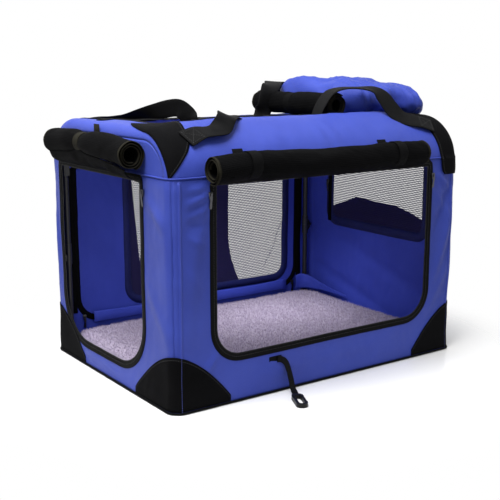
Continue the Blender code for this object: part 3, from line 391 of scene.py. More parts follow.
def nearest(point, outline):
    best, found = 1e9, point
    pu, pv = point
    for (au, av), (bu, bv) in zip(outline, outline[1:] + outline[:1]):
        du, dv = bu - au, bv - av
        share = ((pu - au) * du + (pv - av) * dv) / max(du * du + dv * dv, 1e-12)
        share = clamp(share)
        u, v = au + du * share, av + dv * share
        gap = (u - pu) ** 2 + (v - pv) ** 2
        if gap < best:
            best, found = gap, (u, v)
    return found, math.sqrt(best)


def normalsOf(outline, closed=True):
    count = len(outline)
    made = []
    for i in range(count):
        before = outline[i - 1] if closed or i else outline[0]
        after = outline[(i + 1) % count] if closed or i < count - 1 else outline[-1]
        run = Vector((after[0] - before[0], after[1] - before[1]))
        run.normalize()
        made.append((run.y, -run.x))
    return made


def smoothPath(points, perSpan=6):
    points = [Vector(p) for p in points]
    ends = [points[0] * 2 - points[1]] + points + [points[-1] * 2 - points[-2]]
    made = []
    for i in range(1, len(ends) - 2):
        a, b, c, d = ends[i - 1:i + 3]
        for k in range(perSpan):
            t = k / perSpan
            made.append(0.5 * (2 * b + (c - a) * t + (2 * a - 5 * b + 4 * c - d) * t ** 2
                               + (3 * b - a - 3 * c + d) * t ** 3))
    made.append(points[-1])
    return made


# The cover's surface: walls by their side, height and lift, and the roof by X, run across and lift

wallSides = {
    "front": (Vector((1, 0, 0)), Vector((0, -1, 0)), cover["halfLength"], cover["halfWidth"]),
    "back": (Vector((1, 0, 0)), Vector((0, 1, 0)), cover["halfLength"], cover["halfWidth"]),
    "left": (Vector((0, 1, 0)), Vector((-1, 0, 0)), cover["halfWidth"], cover["halfLength"]),
    "right": (Vector((0, 1, 0)), Vector((1, 0, 0)), cover["halfWidth"], cover["halfLength"]),
}
doorways = {
    "front": {"low": (-0.266, 0.085), "high": (0.268, 0.412), "bottomR": 0.060, "topR": 0.008},
    "left": {"low": (-0.146, 0.045), "high": (0.200, 0.4145), "bottomR": 0.100, "topR": 0.008},
    "right": {"low": (-0.155, 0.236), "high": (0.155, 0.396), "bottomR": 0.020, "topR": 0.008},
    "back": {"low": (-0.300, 0.055), "high": (0.305, 0.396), "bottomR": 0.050, "topR": 0.008},
}
roofDoorway = {"low": (-0.270, -0.150), "high": (0.085, 0.150), "radius": 0.030}
outlines = {side: roundedOutline(d["low"], d["high"], d["bottomR"], d["topR"]) for side, d in doorways.items()}
roofOutline = roundedOutline(roofDoorway["low"], roofDoorway["high"], roofDoorway["radius"], roofDoorway["radius"])

# Long soft folds: side, start, end, width and height, in metres
creases = (
    ("front", (-0.318, 0.398), (-0.276, 0.404), 0.0045, 0.0016),
    ("front", (-0.320, 0.374), (-0.272, 0.392), 0.006, 0.0026),
    ("front", (-0.318, 0.352), (-0.280, 0.366), 0.005, 0.0020),
    ("front", (-0.316, 0.338), (-0.276, 0.338), 0.007, -0.0018),
    ("front", (-0.318, 0.318), (-0.284, 0.300), 0.006, 0.0018),
    ("front", (-0.300, 0.290), (-0.276, 0.395), 0.010, 0.0014),
    ("front", (-0.320, 0.260), (-0.290, 0.215), 0.008, 0.0014),
    ("front", (-0.335, 0.110), (-0.290, 0.070), 0.008, 0.0018),
    ("front", (-0.288, 0.062), (-0.250, 0.112), 0.006, 0.0020),
    ("front", (-0.315, 0.140), (-0.300, 0.360), 0.012, 0.0014),
    ("front", (0.282, 0.150), (0.345, 0.330), 0.011, 0.0034),
    ("front", (0.280, 0.250), (0.345, 0.390), 0.010, -0.0026),
    ("front", (0.282, 0.392), (0.330, 0.350), 0.006, 0.0024),
    ("front", (0.284, 0.350), (0.335, 0.285), 0.008, 0.0022),
    ("front", (0.275, 0.100), (0.335, 0.200), 0.012, 0.0018),
    ("front", (-0.150, 0.045), (0.150, 0.052), 0.012, 0.0010),
    ("left", (-0.235, 0.130), (-0.160, 0.230), 0.014, 0.0016),
    ("left", (-0.230, 0.330), (-0.165, 0.380), 0.012, 0.0020),
    ("left", (0.200, 0.120), (0.235, 0.380), 0.010, -0.0022),
    ("left", (-0.060, 0.020), (0.160, 0.040), 0.012, 0.0012),
    ("right", (-0.220, 0.080), (0.150, 0.200), 0.018, 0.0020),
    ("right", (-0.100, 0.020), (0.220, 0.110), 0.016, 0.0018),
    ("back", (-0.345, 0.100), (-0.310, 0.380), 0.012, 0.0018),
    ("back", (0.315, 0.080), (0.345, 0.360), 0.012, 0.0018),
)


def billow(side, u, v, point):
    large = noise.noise(point * 6.0) * 0.0030 + noise.noise(point * 15.0) * 0.0014
    slanted = Vector((point.x + point.y, (point.x - point.y) * 0.3, point.z * 0.6 + u * 0.5)) * 34
    large += ridge(slanted) * 0.0007
    squeezed = Vector((point.x * 60, point.y * 60, v * 8))
    pucker = math.exp(-(cover["seamZ"] - v) / 0.03) * noise.noise(squeezed) * 0.0010
    pucker += math.exp(-v / 0.02) * noise.noise(squeezed) * 0.0006
    fold = 0.0
    for place, start, end, width, height in creases:
        if place != side:
            continue
        a, b, p = Vector(start), Vector(end), Vector((u, v))
        share = (p - a).dot(b - a) / (b - a).length_squared
        if -0.15 < share < 1.15:
            gap = (a.lerp(b, share) - p).length / width
            taper = max(0.0, math.cos((min(max(share, -0.15), 1.15) - 0.5) * math.pi / 1.3))
            fold += 1.9 * height * math.exp(-gap * gap) * taper
    straight = wallSides[side][2] - cover["cornerR"]
    fold *= min(1.0, max(0.0, straight + 0.010 - abs(u)) / 0.015)
    hem = min(1.0, (v - cover["lowZ"]) / 0.03) * min(1.0, (cover["seamZ"] - v) / 0.02 + 0.15)
    spot, gap = nearest((u, v), outlines[side])
    hem *= 0.25 + 0.75 * min(1.0, gap / 0.025)
    return (large + fold) * hem + pucker * min(1.0, gap / 0.01)


def wallPoint(side, u, v, lift=0.0):
    along, out, reach, depth = wallSides[side]
    radius = cover["cornerR"]
    straight = reach - radius
    over = abs(u) - straight
    if over <= 0:
        normal = out
        foot = along * u + out * depth
    else:
        turn = over / radius
        away = along if u > 0 else -along
        normal = out * math.cos(turn) + away * math.sin(turn)
        foot = away * straight + out * (depth - radius) + normal * radius
    point = foot + up * v
    return point + normal * (lift + billow(side, u, v, point)), normal


def cornerPoint(first, second, run, v, lift):
    # run is negative on the first wall and positive on the second, zero at the middle of their corner
    side = first if run < 0 else second
    along, out, reach, depth = wallSides[side]
    other = wallSides[second if run < 0 else first][1]
    end = 1 if along.dot(other) > 0 else -1
    middle = reach - cover["cornerR"] + cover["cornerR"] * math.pi / 4
    return wallPoint(side, end * (middle - abs(run)), v, lift)


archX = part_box("left_arch_tube")[0].x


def roofSag(x, s):
    between = max(0.0, 1 - (x / archX) ** 2)
    crown = max(0.0, 1 - (abs(s) / (shoulderY + cover["shoulderR"] * 1.3)) ** 4)
    point = Vector((x, s, 0))
    ripple = noise.noise(point * 7.0) * 0.0026 + noise.noise(point * 21.0) * 0.0010
    ripple += ridge(Vector((x * 30, s * 9, 7.0))) * 0.0009
    # the cloth stands up along the front of the opening and slackens behind it
    front = 0.013 * math.exp(-((s + 0.150) / 0.040) ** 2) * min(1.0, between * 1.6)
    back = -0.006 * math.exp(-((s - 0.150) / 0.050) ** 2) * between
    return -0.0030 * between * crown + ripple * (0.4 + 0.6 * between) + front + back


roofReach = cover["halfLength"] - cover["cornerR"]
roofTurn = cover["cornerR"] * math.pi / 2
roofEnd = 0.075
sideRun = cover["shoulderR"] * math.pi / 2 + (shoulderZ - cover["seamZ"])
roofHalfRun = shoulderY + sideRun


def roofPoint(x, s, lift=0.0):
    # x runs on round the end's edge and down its face, s is 0 in the middle and runs down both shoulders
    sign = 1 if s > 0 else -1
    turn = (abs(s) - shoulderY) / cover["shoulderR"]
    radius = cover["cornerR"]
    if turn <= 0:
        outward = up.copy()
        core = Vector((0, s, cover["topZ"] - radius))
    elif turn < math.pi / 2:
        outward = Vector((0, sign * math.sin(turn), math.cos(turn)))
        core = Vector((0, sign * shoulderY, shoulderZ)) + outward * (cover["shoulderR"] - radius)
    else:
        outward = Vector((0, sign, 0))
        drop = (turn - math.pi / 2) * cover["shoulderR"]
        core = Vector((0, sign * (cover["halfWidth"] - radius), shoulderZ - drop))
    end = 1 if x > 0 else -1
    over = (abs(x) - roofReach) / radius
    if over <= 0:
        normal = outward
        core.x = x
        point = core + normal * radius
        return point + normal * (lift + roofSag(x, s)), normal
    core.x = end * roofReach
    if over < math.pi / 2:
        normal = outward * math.cos(over) + Vector((end, 0, 0)) * math.sin(over)
        point = core + normal * radius
        fade = math.cos(over)
        return point + normal * (lift + roofSag(end * roofReach, s) * fade), normal
    normal = Vector((end, 0, 0))
    share = min(1.0, (abs(x) - roofReach - roofTurn) / roofEnd)
    point = core + normal * radius
    point.z += (cover["seamZ"] - point.z) * share
    ripple = noise.noise(Vector((0, point.y, point.z)) * 9.0 + Vector((end * 3, 0, 0))) * 0.002
    ripple *= math.sin(math.pi * min(1.0, share * 1.2)) * (1 - min(1.0, abs(s) / (roofHalfRun - 0.007)) ** 4)
    return point + normal * (lift + ripple), normal


def panel(name, surface, uRange, vRange, step, holes, material, rim=None):
    countU = round((uRange[1] - uRange[0]) / step)
    countV = round((vRange[1] - vRange[0]) / step)
    cut = [[(uRange[0] + (uRange[1] - uRange[0]) * i / countU, vRange[0] + (vRange[1] - vRange[0]) * k / countV)
            for k in range(countV + 1)] for i in range(countU + 1)]
    kept, edgeUse = [], {}
    for i in range(countU):
        for k in range(countV):
            centre = ((cut[i][k][0] + cut[i + 1][k][0]) / 2, (cut[i][k][1] + cut[i][k + 1][1]) / 2)
            gone = any(inside(centre, hole) for hole in holes) or (rim is not None and not inside(centre, rim))
            quad = ((i, k), (i + 1, k), (i + 1, k + 1), (i, k + 1))
            if not gone:
                kept.append(quad)
            for corner in quad:
                edgeUse.setdefault(corner, set()).add(gone)
    edges = holes + ([rim] if rim is not None else [])
    index, vertices, uvs = {}, [], []
    for quad in kept:
        for corner in quad:
            if corner in index:
                continue
            spot = cut[corner[0]][corner[1]]
            if len(edgeUse[corner]) == 2:
                spot = min((nearest(spot, edge) for edge in edges), key=lambda found: found[1])[0]
            index[corner] = len(vertices)
            vertices.append(surface(*spot)[0])
            uvs.append(spot)
    first = [vertices[index[c]] for c in kept[0]]
    middle = kept[0][0]
    flip = (first[1] - first[0]).cross(first[2] - first[0]).dot(surface(*cut[middle[0]][middle[1]])[1]) < 0
    faces = [tuple(index[c] for c in (reversed(quad) if flip else quad)) for quad in kept]
    return newPiece(name, vertices, faces, material, uvs)


# A closed strip on a surface, such as binding, along a run of (u, v) points
def stripOn(name, surface, path, profile, material, closed=True):
    sides = normalsOf(path, closed)
    rows, uvs, travelled = [], [], 0.0
    for i, ((u, v), (nu, nv)) in enumerate(zip(path, sides)):
        if i:
            travelled += (Vector(path[i]) - Vector(path[i - 1])).length
        rows.append([surface(u + nu * across, v + nv * across, lift)[0] for across, lift in profile])
        uvs.extend([(travelled, across) for across, lift in profile])
    return sweep(name, rows, material, closedAlong=closed, capped=not closed, uvs=uvs)


# Repeats along paths, as a node tree with named sizes

def newTree(name, sizes):
    tree = bpy.data.node_groups.new(name, "GeometryNodeTree")
    face = tree.interface
    face.new_socket("Geometry", in_out="INPUT", socket_type="NodeSocketGeometry")
    for key, value in sizes.items():
        face.new_socket(key, in_out="INPUT", socket_type="NodeSocketFloat").default_value = value
    face.new_socket("Finish", in_out="INPUT", socket_type="NodeSocketMaterial")
    face.new_socket("Geometry", in_out="OUTPUT", socket_type="NodeSocketGeometry")
    return tree, addNode(tree, "NodeGroupInput").outputs


def finishTree(tree, given, placing):
    placed = addNode(tree, "GeometryNodeInstanceOnPoints", None, None, placing)
    real = addNode(tree, "GeometryNodeRealizeInstances", links={0: placed.outputs[0]})
    finished = addNode(tree, "GeometryNodeSetMaterial", links={"Geometry": real.outputs[0],
                                                               "Material": given["Finish"]})
    addNode(tree, "NodeGroupOutput", links={0: finished.outputs[0]})
    return tree


def growOn(piece, tree, values, material):
    modifier = piece.modifiers.new("repeat", "NODES")
    modifier.node_group = tree
    sockets = {item.name: item.identifier for item in tree.interface.items_tree if item.in_out == "INPUT"}
    for key, value in {**values, "Finish": material}.items():
        modifier[sockets[key]] = value
    bake(piece)
    piece.data.materials.clear()
    piece.data.materials.append(material)
    return piece


def repeatTree():
    tree, given = newTree("repeatAlongPath", {"Spacing": 0.003, "Length": 0.002, "Width": 0.0006, "Height": 0.0005})
    curve = addNode(tree, "GeometryNodeMeshToCurve", links={"Mesh": given["Geometry"]}).outputs["Curve"]
    spaced = addNode(tree, "GeometryNodeResampleCurve", {"mode": "LENGTH"},
                     links={"Curve": curve, "Length": given["Spacing"]}).outputs["Curve"]
    size = addNode(tree, "ShaderNodeCombineXYZ", links={0: given["Length"], 1: given["Width"], 2: given["Height"]})
    bead = addNode(tree, "GeometryNodeMeshIcoSphere", None, {"Radius": 0.5, "Subdivisions": 1}).outputs["Mesh"]
    tangent = addNode(tree, "GeometryNodeInputTangent").outputs[0]
    outward = addNode(tree, "GeometryNodeInputNamedAttribute", {"data_type": "FLOAT_VECTOR"}, {"Name": "outward"})
    first = addNode(tree, "FunctionNodeAlignRotationToVector", {"axis": "X"}, links={"Vector": tangent})
    second = addNode(tree, "FunctionNodeAlignRotationToVector", {"axis": "Z", "pivot_axis": "X"},
                     links={"Rotation": first.outputs[0], "Vector": outward.outputs["Attribute"]})
    return finishTree(tree, given, {"Points": spaced, "Instance": bead, "Rotation": second.outputs[0],
                                    "Scale": size.outputs[0]})


pathRepeat = repeatTree()


def repeatAlong(name, runs, values, material):
    vertices, outward, edges = [], [], []
    for run, closed in runs:
        start = len(vertices)
        vertices += [tuple(p) for p, n in run]
        outward += [tuple(n) for p, n in run]
        edges += [(start + i, start + i + 1) for i in range(len(run) - 1)]
        if closed:
            edges.append((start + len(run) - 1, start))
    mesh = bpy.data.meshes.new(name)
    mesh.from_pydata(vertices, edges, [])
    attribute = mesh.attributes.new("outward", "FLOAT_VECTOR", "POINT")
    attribute.data.foreach_set("vector", [c for n in outward for c in n])
    piece = growOn(addObject(name, mesh), pathRepeat, values, material)
    piece.data.shade_smooth()
    return piece


stitchSizes = {"Spacing": 0.0042, "Length": 0.0034, "Width": 0.0009, "Height": 0.0008}
toothSizes = {"Spacing": 0.0024, "Length": 0.0014, "Width": 0.0034, "Height": 0.0018}


def onSurface(surface, path, across=0.0, lift=0.0, closed=True):
    return [surface(u + nu * across, v + nv * across, lift) for (u, v), (nu, nv) in zip(path, normalsOf(path, closed))]


# A flat strap along points, each with the way its face looks

def ribbon(name, centres, faceWays, width, thickness, material):
    rows, uvs, travelled = [], [], 0.0
    count = len(centres)
    for i, (centre, faceWay) in enumerate(zip(centres, faceWays)):
        tangent = (centres[min(i + 1, count - 1)] - centres[max(i - 1, 0)]).normalized()
        across = tangent.cross(faceWay).normalized()
        faceUp = across.cross(tangent).normalized()
        if i:
            travelled += (centre - centres[i - 1]).length
        half = width / 2
        thick = thickness / 2
        profile = [(-half, -thick * 0.5), (-half + thick, -thick), (-half * 0.5, -thick), (0, -thick),
                   (half * 0.5, -thick), (half - thick, -thick), (half, -thick * 0.5), (half, thick * 0.5),
                   (half - thick, thick), (half * 0.5, thick), (0, thick), (-half * 0.5, thick),
                   (-half + thick, thick), (-half, thick * 0.5)]
        rows.append([centre + across * a + faceUp * b for a, b in profile])
        uvs.extend([(travelled, a) for a, b in profile])
    return sweep(name, rows, material, capped=True, uvs=uvs)


surfaces = {side: (lambda u, v, lift=0.0, side=side: wallPoint(side, u, v, lift)) for side in wallSides}


# Where the corner's middle lies along a wall, and rings along a line that runs round the cover

def sideEnd(side):
    return wallSides[side][2] - cover["cornerR"] + cover["cornerR"] * math.pi / 4


def roundCover(count, z):
    loop = []
    for side in ("front", "right", "back", "left"):
        end = sideEnd(side)
        spots = [-end + 2 * end * i / count for i in range(count)]
        if side in ("back", "left"):
            spots = [-u for u in spots]
        loop += [wallPoint(side, u, z, 0.0) for u in spots]
    return loop


def ringRound(centre, first, second, radius, flat=1.0):
    return [centre + (first * math.cos(t) + second * math.sin(t) * flat) * radius
            for t in (math.pi * 2 * k / 8 for k in range(8))]


def ringUvs(count, lengthStep, aroundStep):
    return [(lengthStep * i, aroundStep * k) for i in range(count) for k in range(8)]


def upright(u, start, rise, count):
    return [(u, start + rise * i / count) for i in range(count + 1)]


def sunk(side):
    return lambda u, v, lift=0.0: wallPoint(side, u, v, lift - 0.0009)


# Walls

for side in wallSides:
    end = sideEnd(side)
    cloth = panel(side + "WallCloth", surfaces[side], (-end, end), (cover["lowZ"], cover["seamZ"]), 0.005,
                  [outlines[side]], bluePolyester)
    bake(thicken(cloth, cover["cloth"], liningPaintedGlow))
    dress(cloth, "base", (side + "_wall",), folds=True)
print("walls made")


# Doorway bindings with their zip teeth

binding = {"inner": 0.008, "outer": 0.006, "rise": 0.0012}
bindingProfile = [(-binding["inner"], -0.0016), (-binding["inner"], -0.0004), (0.0005, 0.0004),
                  (binding["outer"], binding["rise"]), (binding["outer"] + 0.0008, 0.0003),
                  (binding["outer"] + 0.0008, -0.0024), (binding["outer"], -0.0032), (0.0005, -0.0026)]
for side, node in (("front", "front_doorway_zip"), ("left", "left_doorway_zip"), ("back", "back_doorway_zip")):
    path = evenly(outlines[side], 0.006)
    tape = stripOn(side + "DoorTape", surfaces[side], path, bindingProfile, bindingTape)
    dress(tape, "base", (node,), folds=True)
    finePath = evenly(outlines[side], 0.003)
    teeth = repeatAlong(side + "DoorTeeth", [(onSurface(surfaces[side], finePath, -0.0072, -0.0008), True)],
                        toothSizes, coilNylon)
    dress(teeth, "base", folds=True)
    # beside the sliders' way, and clear of the door that swings
    across, lift = (0.0045, 0.0014) if side == "back" else (-0.0015, 0.0006)
    seam = repeatAlong(side + "DoorStitches", [(onSurface(surfaces[side], finePath, across, lift), True)],
                       stitchSizes, sewingThread)
    dress(seam, "base", folds=True)
guard = {"ways": (("Left", 1), ("Right", -1)), "top": 0.392, "length": 0.320}
guardProfile = [(0.003, -0.0021), (0.003, -0.0032), (0.011, -0.0034), (0.018, -0.0031), (0.018, -0.0020)]
for endName, way in guard["ways"]:
    edge = doorways["back"]["low" if way > 0 else "high"][0]
    path = upright(edge, guard["top"], -guard["length"], 54)[::way]
    strip = stripOn("backDoorGuard" + endName, surfaces["back"], path, guardProfile, bindingTape, closed=False)
    dress(strip, "base", folds=True)

# The lining stands up round the mat as a low skirt, and cuts across the right back corner
skirtPlans = {
    "backLiningSkirt": (((-.268, .2374), (-.15, .2367), (0, .2374), (.15, .2365), (.268, .2374)),
                        (.072, .069, .073, .070, .074)),
    "cornerLiningGusset": (((.292, .2262), (.304, .2240), (.317, .2150), (.328, .1960), (.335, .170), (.3385, .135),
                            (.3405, .090)), (.080, .084, .082, .074, .064, .056, .050)),
}
for name, (plan, tops) in skirtPlans.items():
    line = smoothPath([(x, y, top) for (x, y), top in zip(plan, tops)], 8)
    rows, uvs = [], []
    for i, spot in enumerate(line):
        row = []
        for k in range(9):
            z = 0.046 + (spot.z - 0.046) * k / 8
            ruck = 0.0012 * noise.noise(Vector((spot.x * 60, spot.y * 60, z * 40)))
            row.append(Vector((spot.x - ruck, spot.y - ruck - 0.002 * math.sin(math.pi * k / 8), z)))
            uvs.append((i * 0.006, z))
        rows.append(row)
    skirt = sweep(name, rows, liningPaintedGlow, closedAround=False, uvs=uvs)
    bake(thicken(skirt, 0.0011, offset=0.0))
    dress(skirt, "base", folds=True)

# Flat-felled seams beside the corners, each with its stitch line
fell = {"place": 0.333, "foot": 0.003, "length": 0.410, "stitchLift": 0.0013}
fellProfile = [(-0.0032, -0.0008), (-0.0030, 0.0007), (0.0, 0.0011), (0.0030, 0.0007), (0.0032, -0.0008)]
for side in ("front", "back"):
    for endName, sign in (("Left", -1), ("Right", 1)):
        path = upright(sign * fell["place"], cover["lowZ"] + fell["foot"], fell["length"], 80)
        strip = stripOn(side + endName + "Seam", surfaces[side], path, fellProfile, bluePolyester, closed=False)
        dress(strip, "base", folds=True)
        run = [surfaces[side](u, v, fell["stitchLift"]) for u, v in path]
        stitches = repeatAlong(side + endName + "SeamStitches", [(run, False)], stitchSizes, blueThread)
        dress(stitches, "base", folds=True)
print("doorways bound")


# Right window: knit in the wall, its cover hanging open below

windowEdge = outlines["right"]
windowPanel = panel("rightWindowKnit", sunk("right"), (-0.165, 0.165), (0.226, 0.402), 0.006, [], windowKnit,
                    rim=windowEdge)
dress(windowPanel, "base", ("right_window_mesh",), folds=True)
windowBinding = stripOn("rightWindowBinding", surfaces["right"], evenly(windowEdge, 0.006),
                        [(-0.004, -0.0016), (-0.004, 0.0004), (0.003, 0.0012), (0.017, 0.0010), (0.0175, -0.0003),
                         (0.0175, -0.0026), (0.003, -0.0028)], shadePaintedPolyester)
dress(windowBinding, "base", folds=True)
windowZip = stripOn("rightWindowZip", surfaces["right"], upright(0.160, 0.388, -0.160, 30),
                    [(-0.005, -0.0046), (-0.005, -0.0032), (0.005, -0.0032), (0.005, -0.0046), (0.0, -0.0056)],
                    bindingTape, closed=False)
dress(windowZip, "base", folds=True)

flap = {"crest": ((-0.165, 0.262), (-0.154, 0.266), (-0.110, 0.281), (-0.064, 0.291), (0.010, 0.293),
                  (0.072, 0.296), (0.119, 0.278), (0.165, 0.262)), "foot": 0.228, "bulge": 0.0055}


def crestAt(y):
    points = flap["crest"]
    for (ya, za), (yb, zb) in zip(points, points[1:]):
        if y <= yb:
            return between((za, zb), (y - ya) / (yb - ya))
    return points[-1][1]


def flapPoint(y, share):
    top = crestAt(y)
    z = between((flap["foot"], top), share)
    swell = flap["bulge"] * math.sin(math.pi * (0.15 + 0.75 * share))
    swell += 0.0018 * noise.noise(Vector((y * 22, z * 30, 2.0)))
    return wallPoint("right", y, z, 0.0022 + max(swell, 0.0) * (0.4 + 0.6 * share))[0]


# the window cover is drawn in the cloth painted dark for shade
flapRuns = [-0.165 + 0.330 * i / 66 for i in range(67)]
rows = [[flapPoint(y, k / 12) for k in range(13)] for y in flapRuns]
flapPiece = sweep("rightWindowFlap", rows, shadePaintedPolyester, closedAround=False,
                  uvs=[(y, 0.070 * k / 12) for y in flapRuns for k in range(13)])
bake(thicken(flapPiece, 0.0012))
dress(flapPiece, "base", ("right_window_cover",), folds=True)
print("right window made")


# Back door

backDoor = {"gap": 0.0004, "top": 0.3915, "window": ((-0.170, 0.084), (0.267, 0.383)), "windowR": 0.030,
            "flapLeft": -0.145, "flapRight": 0.100, "flapZ": (0.072, 0.389), "foldX": -0.176}
doorRim = roundedOutline((-0.300 + backDoor["gap"], 0.055 + backDoor["gap"]),
                         (0.305 - backDoor["gap"], backDoor["top"]), 0.050, 0.008)
doorWindow = roundedOutline(*backDoor["window"], backDoor["windowR"], backDoor["windowR"])
doorCloth = panel("backDoorCloth", surfaces["back"], (-0.305, 0.310), (0.050, 0.400), 0.005, [doorWindow],
                  bluePolyester, rim=doorRim)
bake(thicken(doorCloth, cover["cloth"], liningPaintedGlow))
dress(doorCloth, "back_door", ("back_door_frame",), folds=True)
doorKnit = panel("backDoorKnit", sunk("back"), (-0.180, 0.277), (0.075, 0.390), 0.006, [], windowKnit,
                 rim=doorWindow)
dress(doorKnit, "back_door", ("back_door_mesh",), folds=True)
doorBinding = stripOn("backWindowBinding", surfaces["back"], evenly(doorWindow, 0.006),
                      [(-0.004, -0.0016), (-0.004, 0.0004), (0.004, 0.0012), (0.013, 0.0010), (0.0138, -0.0003),
                       (0.0138, -0.0024), (0.004, -0.0028)], shadePaintedPolyester)
dress(doorBinding, "back_door", folds=True)


def backFlapPoint(share, v):
    height = (v - backDoor["flapZ"][0]) / (backDoor["flapZ"][1] - backDoor["flapZ"][0])
    right = backDoor["flapRight"] + 0.042 * max(0.0, 1 - height / 0.45) ** 2
    left = backDoor["flapLeft"] + 0.012 * clamp((v - 0.155) / 0.05)
    u = between((left, right), share)
    swell = 0.0032 + 0.0020 * noise.noise(Vector((u * 14, v * 9, 5.0))) + 0.0015 * math.sin(share * math.pi)
    return wallPoint("back", u, v, max(swell, 0.0014))


# the door's cover is drawn in the cloth painted dark for shade, where it lies in the shadow of the opening
rows = [[backFlapPoint(i / 50, between(backDoor["flapZ"], k / 60))[0] for k in range(61)] for i in range(51)]
backFlap = sweep("backDoorFlap", rows, shadePaintedPolyester, closedAround=False,
                 uvs=[(0.25 * i / 50, 0.317 * k / 60) for i in range(51) for k in range(61)])
bake(thicken(backFlap, 0.0012))
dress(backFlap, "back_door", ("back_door_cover",), folds=True)
rows = []
for i in range(9):
    edgeRow = []
    for k in range(41):
        z = between(backDoor["flapZ"], k / 40)
        right = -0.141 - 0.018 * clamp((z - 0.155) / 0.20) ** 0.8
        edgeRow.append(wallPoint("back", between((backDoor["foldX"], right), i / 8), z, 0.0018)[0])
    rows.append(edgeRow)
backEdge = sweep("backDoorFlapFold", rows, shadePaintedPolyester, closedAround=False,
                 uvs=[(0.004 * i, 0.0079 * k) for i in range(9) for k in range(41)])
bake(thicken(backEdge, 0.0010))
dress(backEdge, "back_door", folds=True)
# a fold pressed into the knit
creaseLine = smoothPath([(0.262, 0.222, 0), (0.246, 0.190, 0), (0.236, 0.160, 0), (0.205, 0.112, 0)], 8)
rows = [[wallPoint("back", p.x + a, p.y, -0.0016)[0] for a in (-0.0012, 0.0, 0.0012)] for p in creaseLine]
knitFold = sweep("backDoorKnitFold", rows, windowKnit, closedAround=False,
                 uvs=[(0.0047 * i + 0.0011, a + 0.0008) for i in range(len(rows)) for a in (-0.0012, 0.0, 0.0012)])
dress(knitFold, "back_door", folds=True)
print("back door made")


# Roof cloth

def gridPart(builder, pointAt, uvAt, countA, countB):
    corners = [[builder.verts.new(pointAt(i / countA, k / countB)) for k in range(countB + 1)]
               for i in range(countA + 1)]
    layer = builder.loops.layers.uv.verify()
    for i in range(countA):
        for k in range(countB):
            face = builder.faces.new((corners[i][k], corners[i + 1][k], corners[i + 1][k + 1], corners[i][k + 1]))
            spots = ((i, k), (i + 1, k), (i + 1, k + 1), (i, k + 1))
            for loop, (a, b) in zip(face.loops, spots):
                loop[layer].uv = uvAt(a / countA, b / countB)


roofX = roofReach + roofTurn
roofPanel = panel("roofCloth", roofPoint, (-roofX, roofX), (-roofHalfRun, roofHalfRun), 0.005, [roofOutline],
                  bluePolyester)
builder = bmesh.new()
builder.from_mesh(roofPanel.data)
sideS = shoulderY + cover["shoulderR"] * 1.475
for sign in (-1, 1):
    gridPart(builder, lambda a, b, sign=sign: roofPoint(sign * (roofX + roofEnd * a), sideS * (2 * b - 1))[0],
             lambda a, b: (a * roofEnd, sideS * (2 * b - 1)), 14, 116)
bmesh.ops.remove_doubles(builder, verts=builder.verts, dist=0.0006)
settle(builder, roofPanel.data)
roofPanel.data.shade_smooth()
bake(thicken(roofPanel, cover["cloth"], liningPaintedGlow))
dress(roofPanel, "top", ("roof_cover",))

roofTape = stripOn("roofDoorTape", roofPoint, evenly(roofOutline, 0.006), bindingProfile, bindingTape)
dress(roofTape, "top", ("roof_doorway_zip",))
finePath = evenly(roofOutline, 0.003)
roofTeeth = repeatAlong("roofDoorTeeth", [(onSurface(roofPoint, finePath, -0.0072, -0.0008), True)], toothSizes,
                        coilNylon)
dress(roofTeeth, "top")

weltRows = [ringRound(point + normal * 0.0004 + up * 0.0014, normal, up, 0.0016)
            for point, normal in roundCover(120, cover["seamZ"])]
welt = sweep("seamPiping", weltRows, bluePolyester, closedAlong=True, uvs=ringUvs(len(weltRows), 0.0115, 0.0013))
dress(welt, "top")
print("roof made")


# Wear patches round the bottom corners

patch = {"high": 0.107, "low": 0.0052, "end": 0.012, "long": 0.115, "short": 0.135, "lift": 0.0016, "thick": 0.0012}


def patchHeight(share):
    foot = patch["low"] + patch["end"]
    return foot + (patch["high"] - foot) * (1 - share ** 1.6)


for first, second in (("front", "left"), ("front", "right"), ("back", "right"), ("back", "left")):
    runs = [-patch["long"] + patch["long"] * i / 24 for i in range(24)]
    runs += [patch["short"] * i / 28 for i in range(29)]
    rows, uvs, hemRun = [], [], []
    for run in runs:
        share = abs(run) / (patch["long"] if run < 0 else patch["short"])
        high = patchHeight(share)
        rows.append([cornerPoint(first, second, run, patch["low"] + (high - patch["low"]) * k / 14, patch["lift"])[0]
                     for k in range(15)])
        uvs.extend([(run, high * k / 14) for k in range(15)])
        hemRun.append(cornerPoint(first, second, run, max(high - 0.005, patch["low"]), patch["lift"]))
    name = first + second.capitalize()
    cloth = sweep(name + "WearPatch", rows, blackPolyester, closedAround=False, uvs=uvs)
    middle = cloth.data.polygons[24 * 14 + 7]
    if middle.normal.dot(cornerPoint(first, second, 0.0, 0.05, 0)[1]) < 0:
        cloth.data.flip_normals()
    bake(thicken(cloth, patch["thick"]))
    dress(cloth, "base", (first + "_" + second + "_corner_patch",), folds=True)
    hem = repeatAlong(name + "PatchStitches", [(hemRun, False)], stitchSizes, sewingThread)
    dress(hem, "base", folds=True)

pipingRows = [ringRound(Vector((point.x, point.y, 0.0028)) + normal * 0.0020, normal, up, 0.0020)
              for point, normal in roundCover(100, cover["lowZ"])]
piping = sweep("bottomPiping", pipingRows, bindingTape, closedAlong=True,
               uvs=ringUvs(len(pipingRows), 0.0115, 0.0016))
dress(piping, "base", ("bottom_piping",), folds=True)
print("patches made")


# Handle patches over the four shoulders: run over the roof, its edge by the end and its edge inward

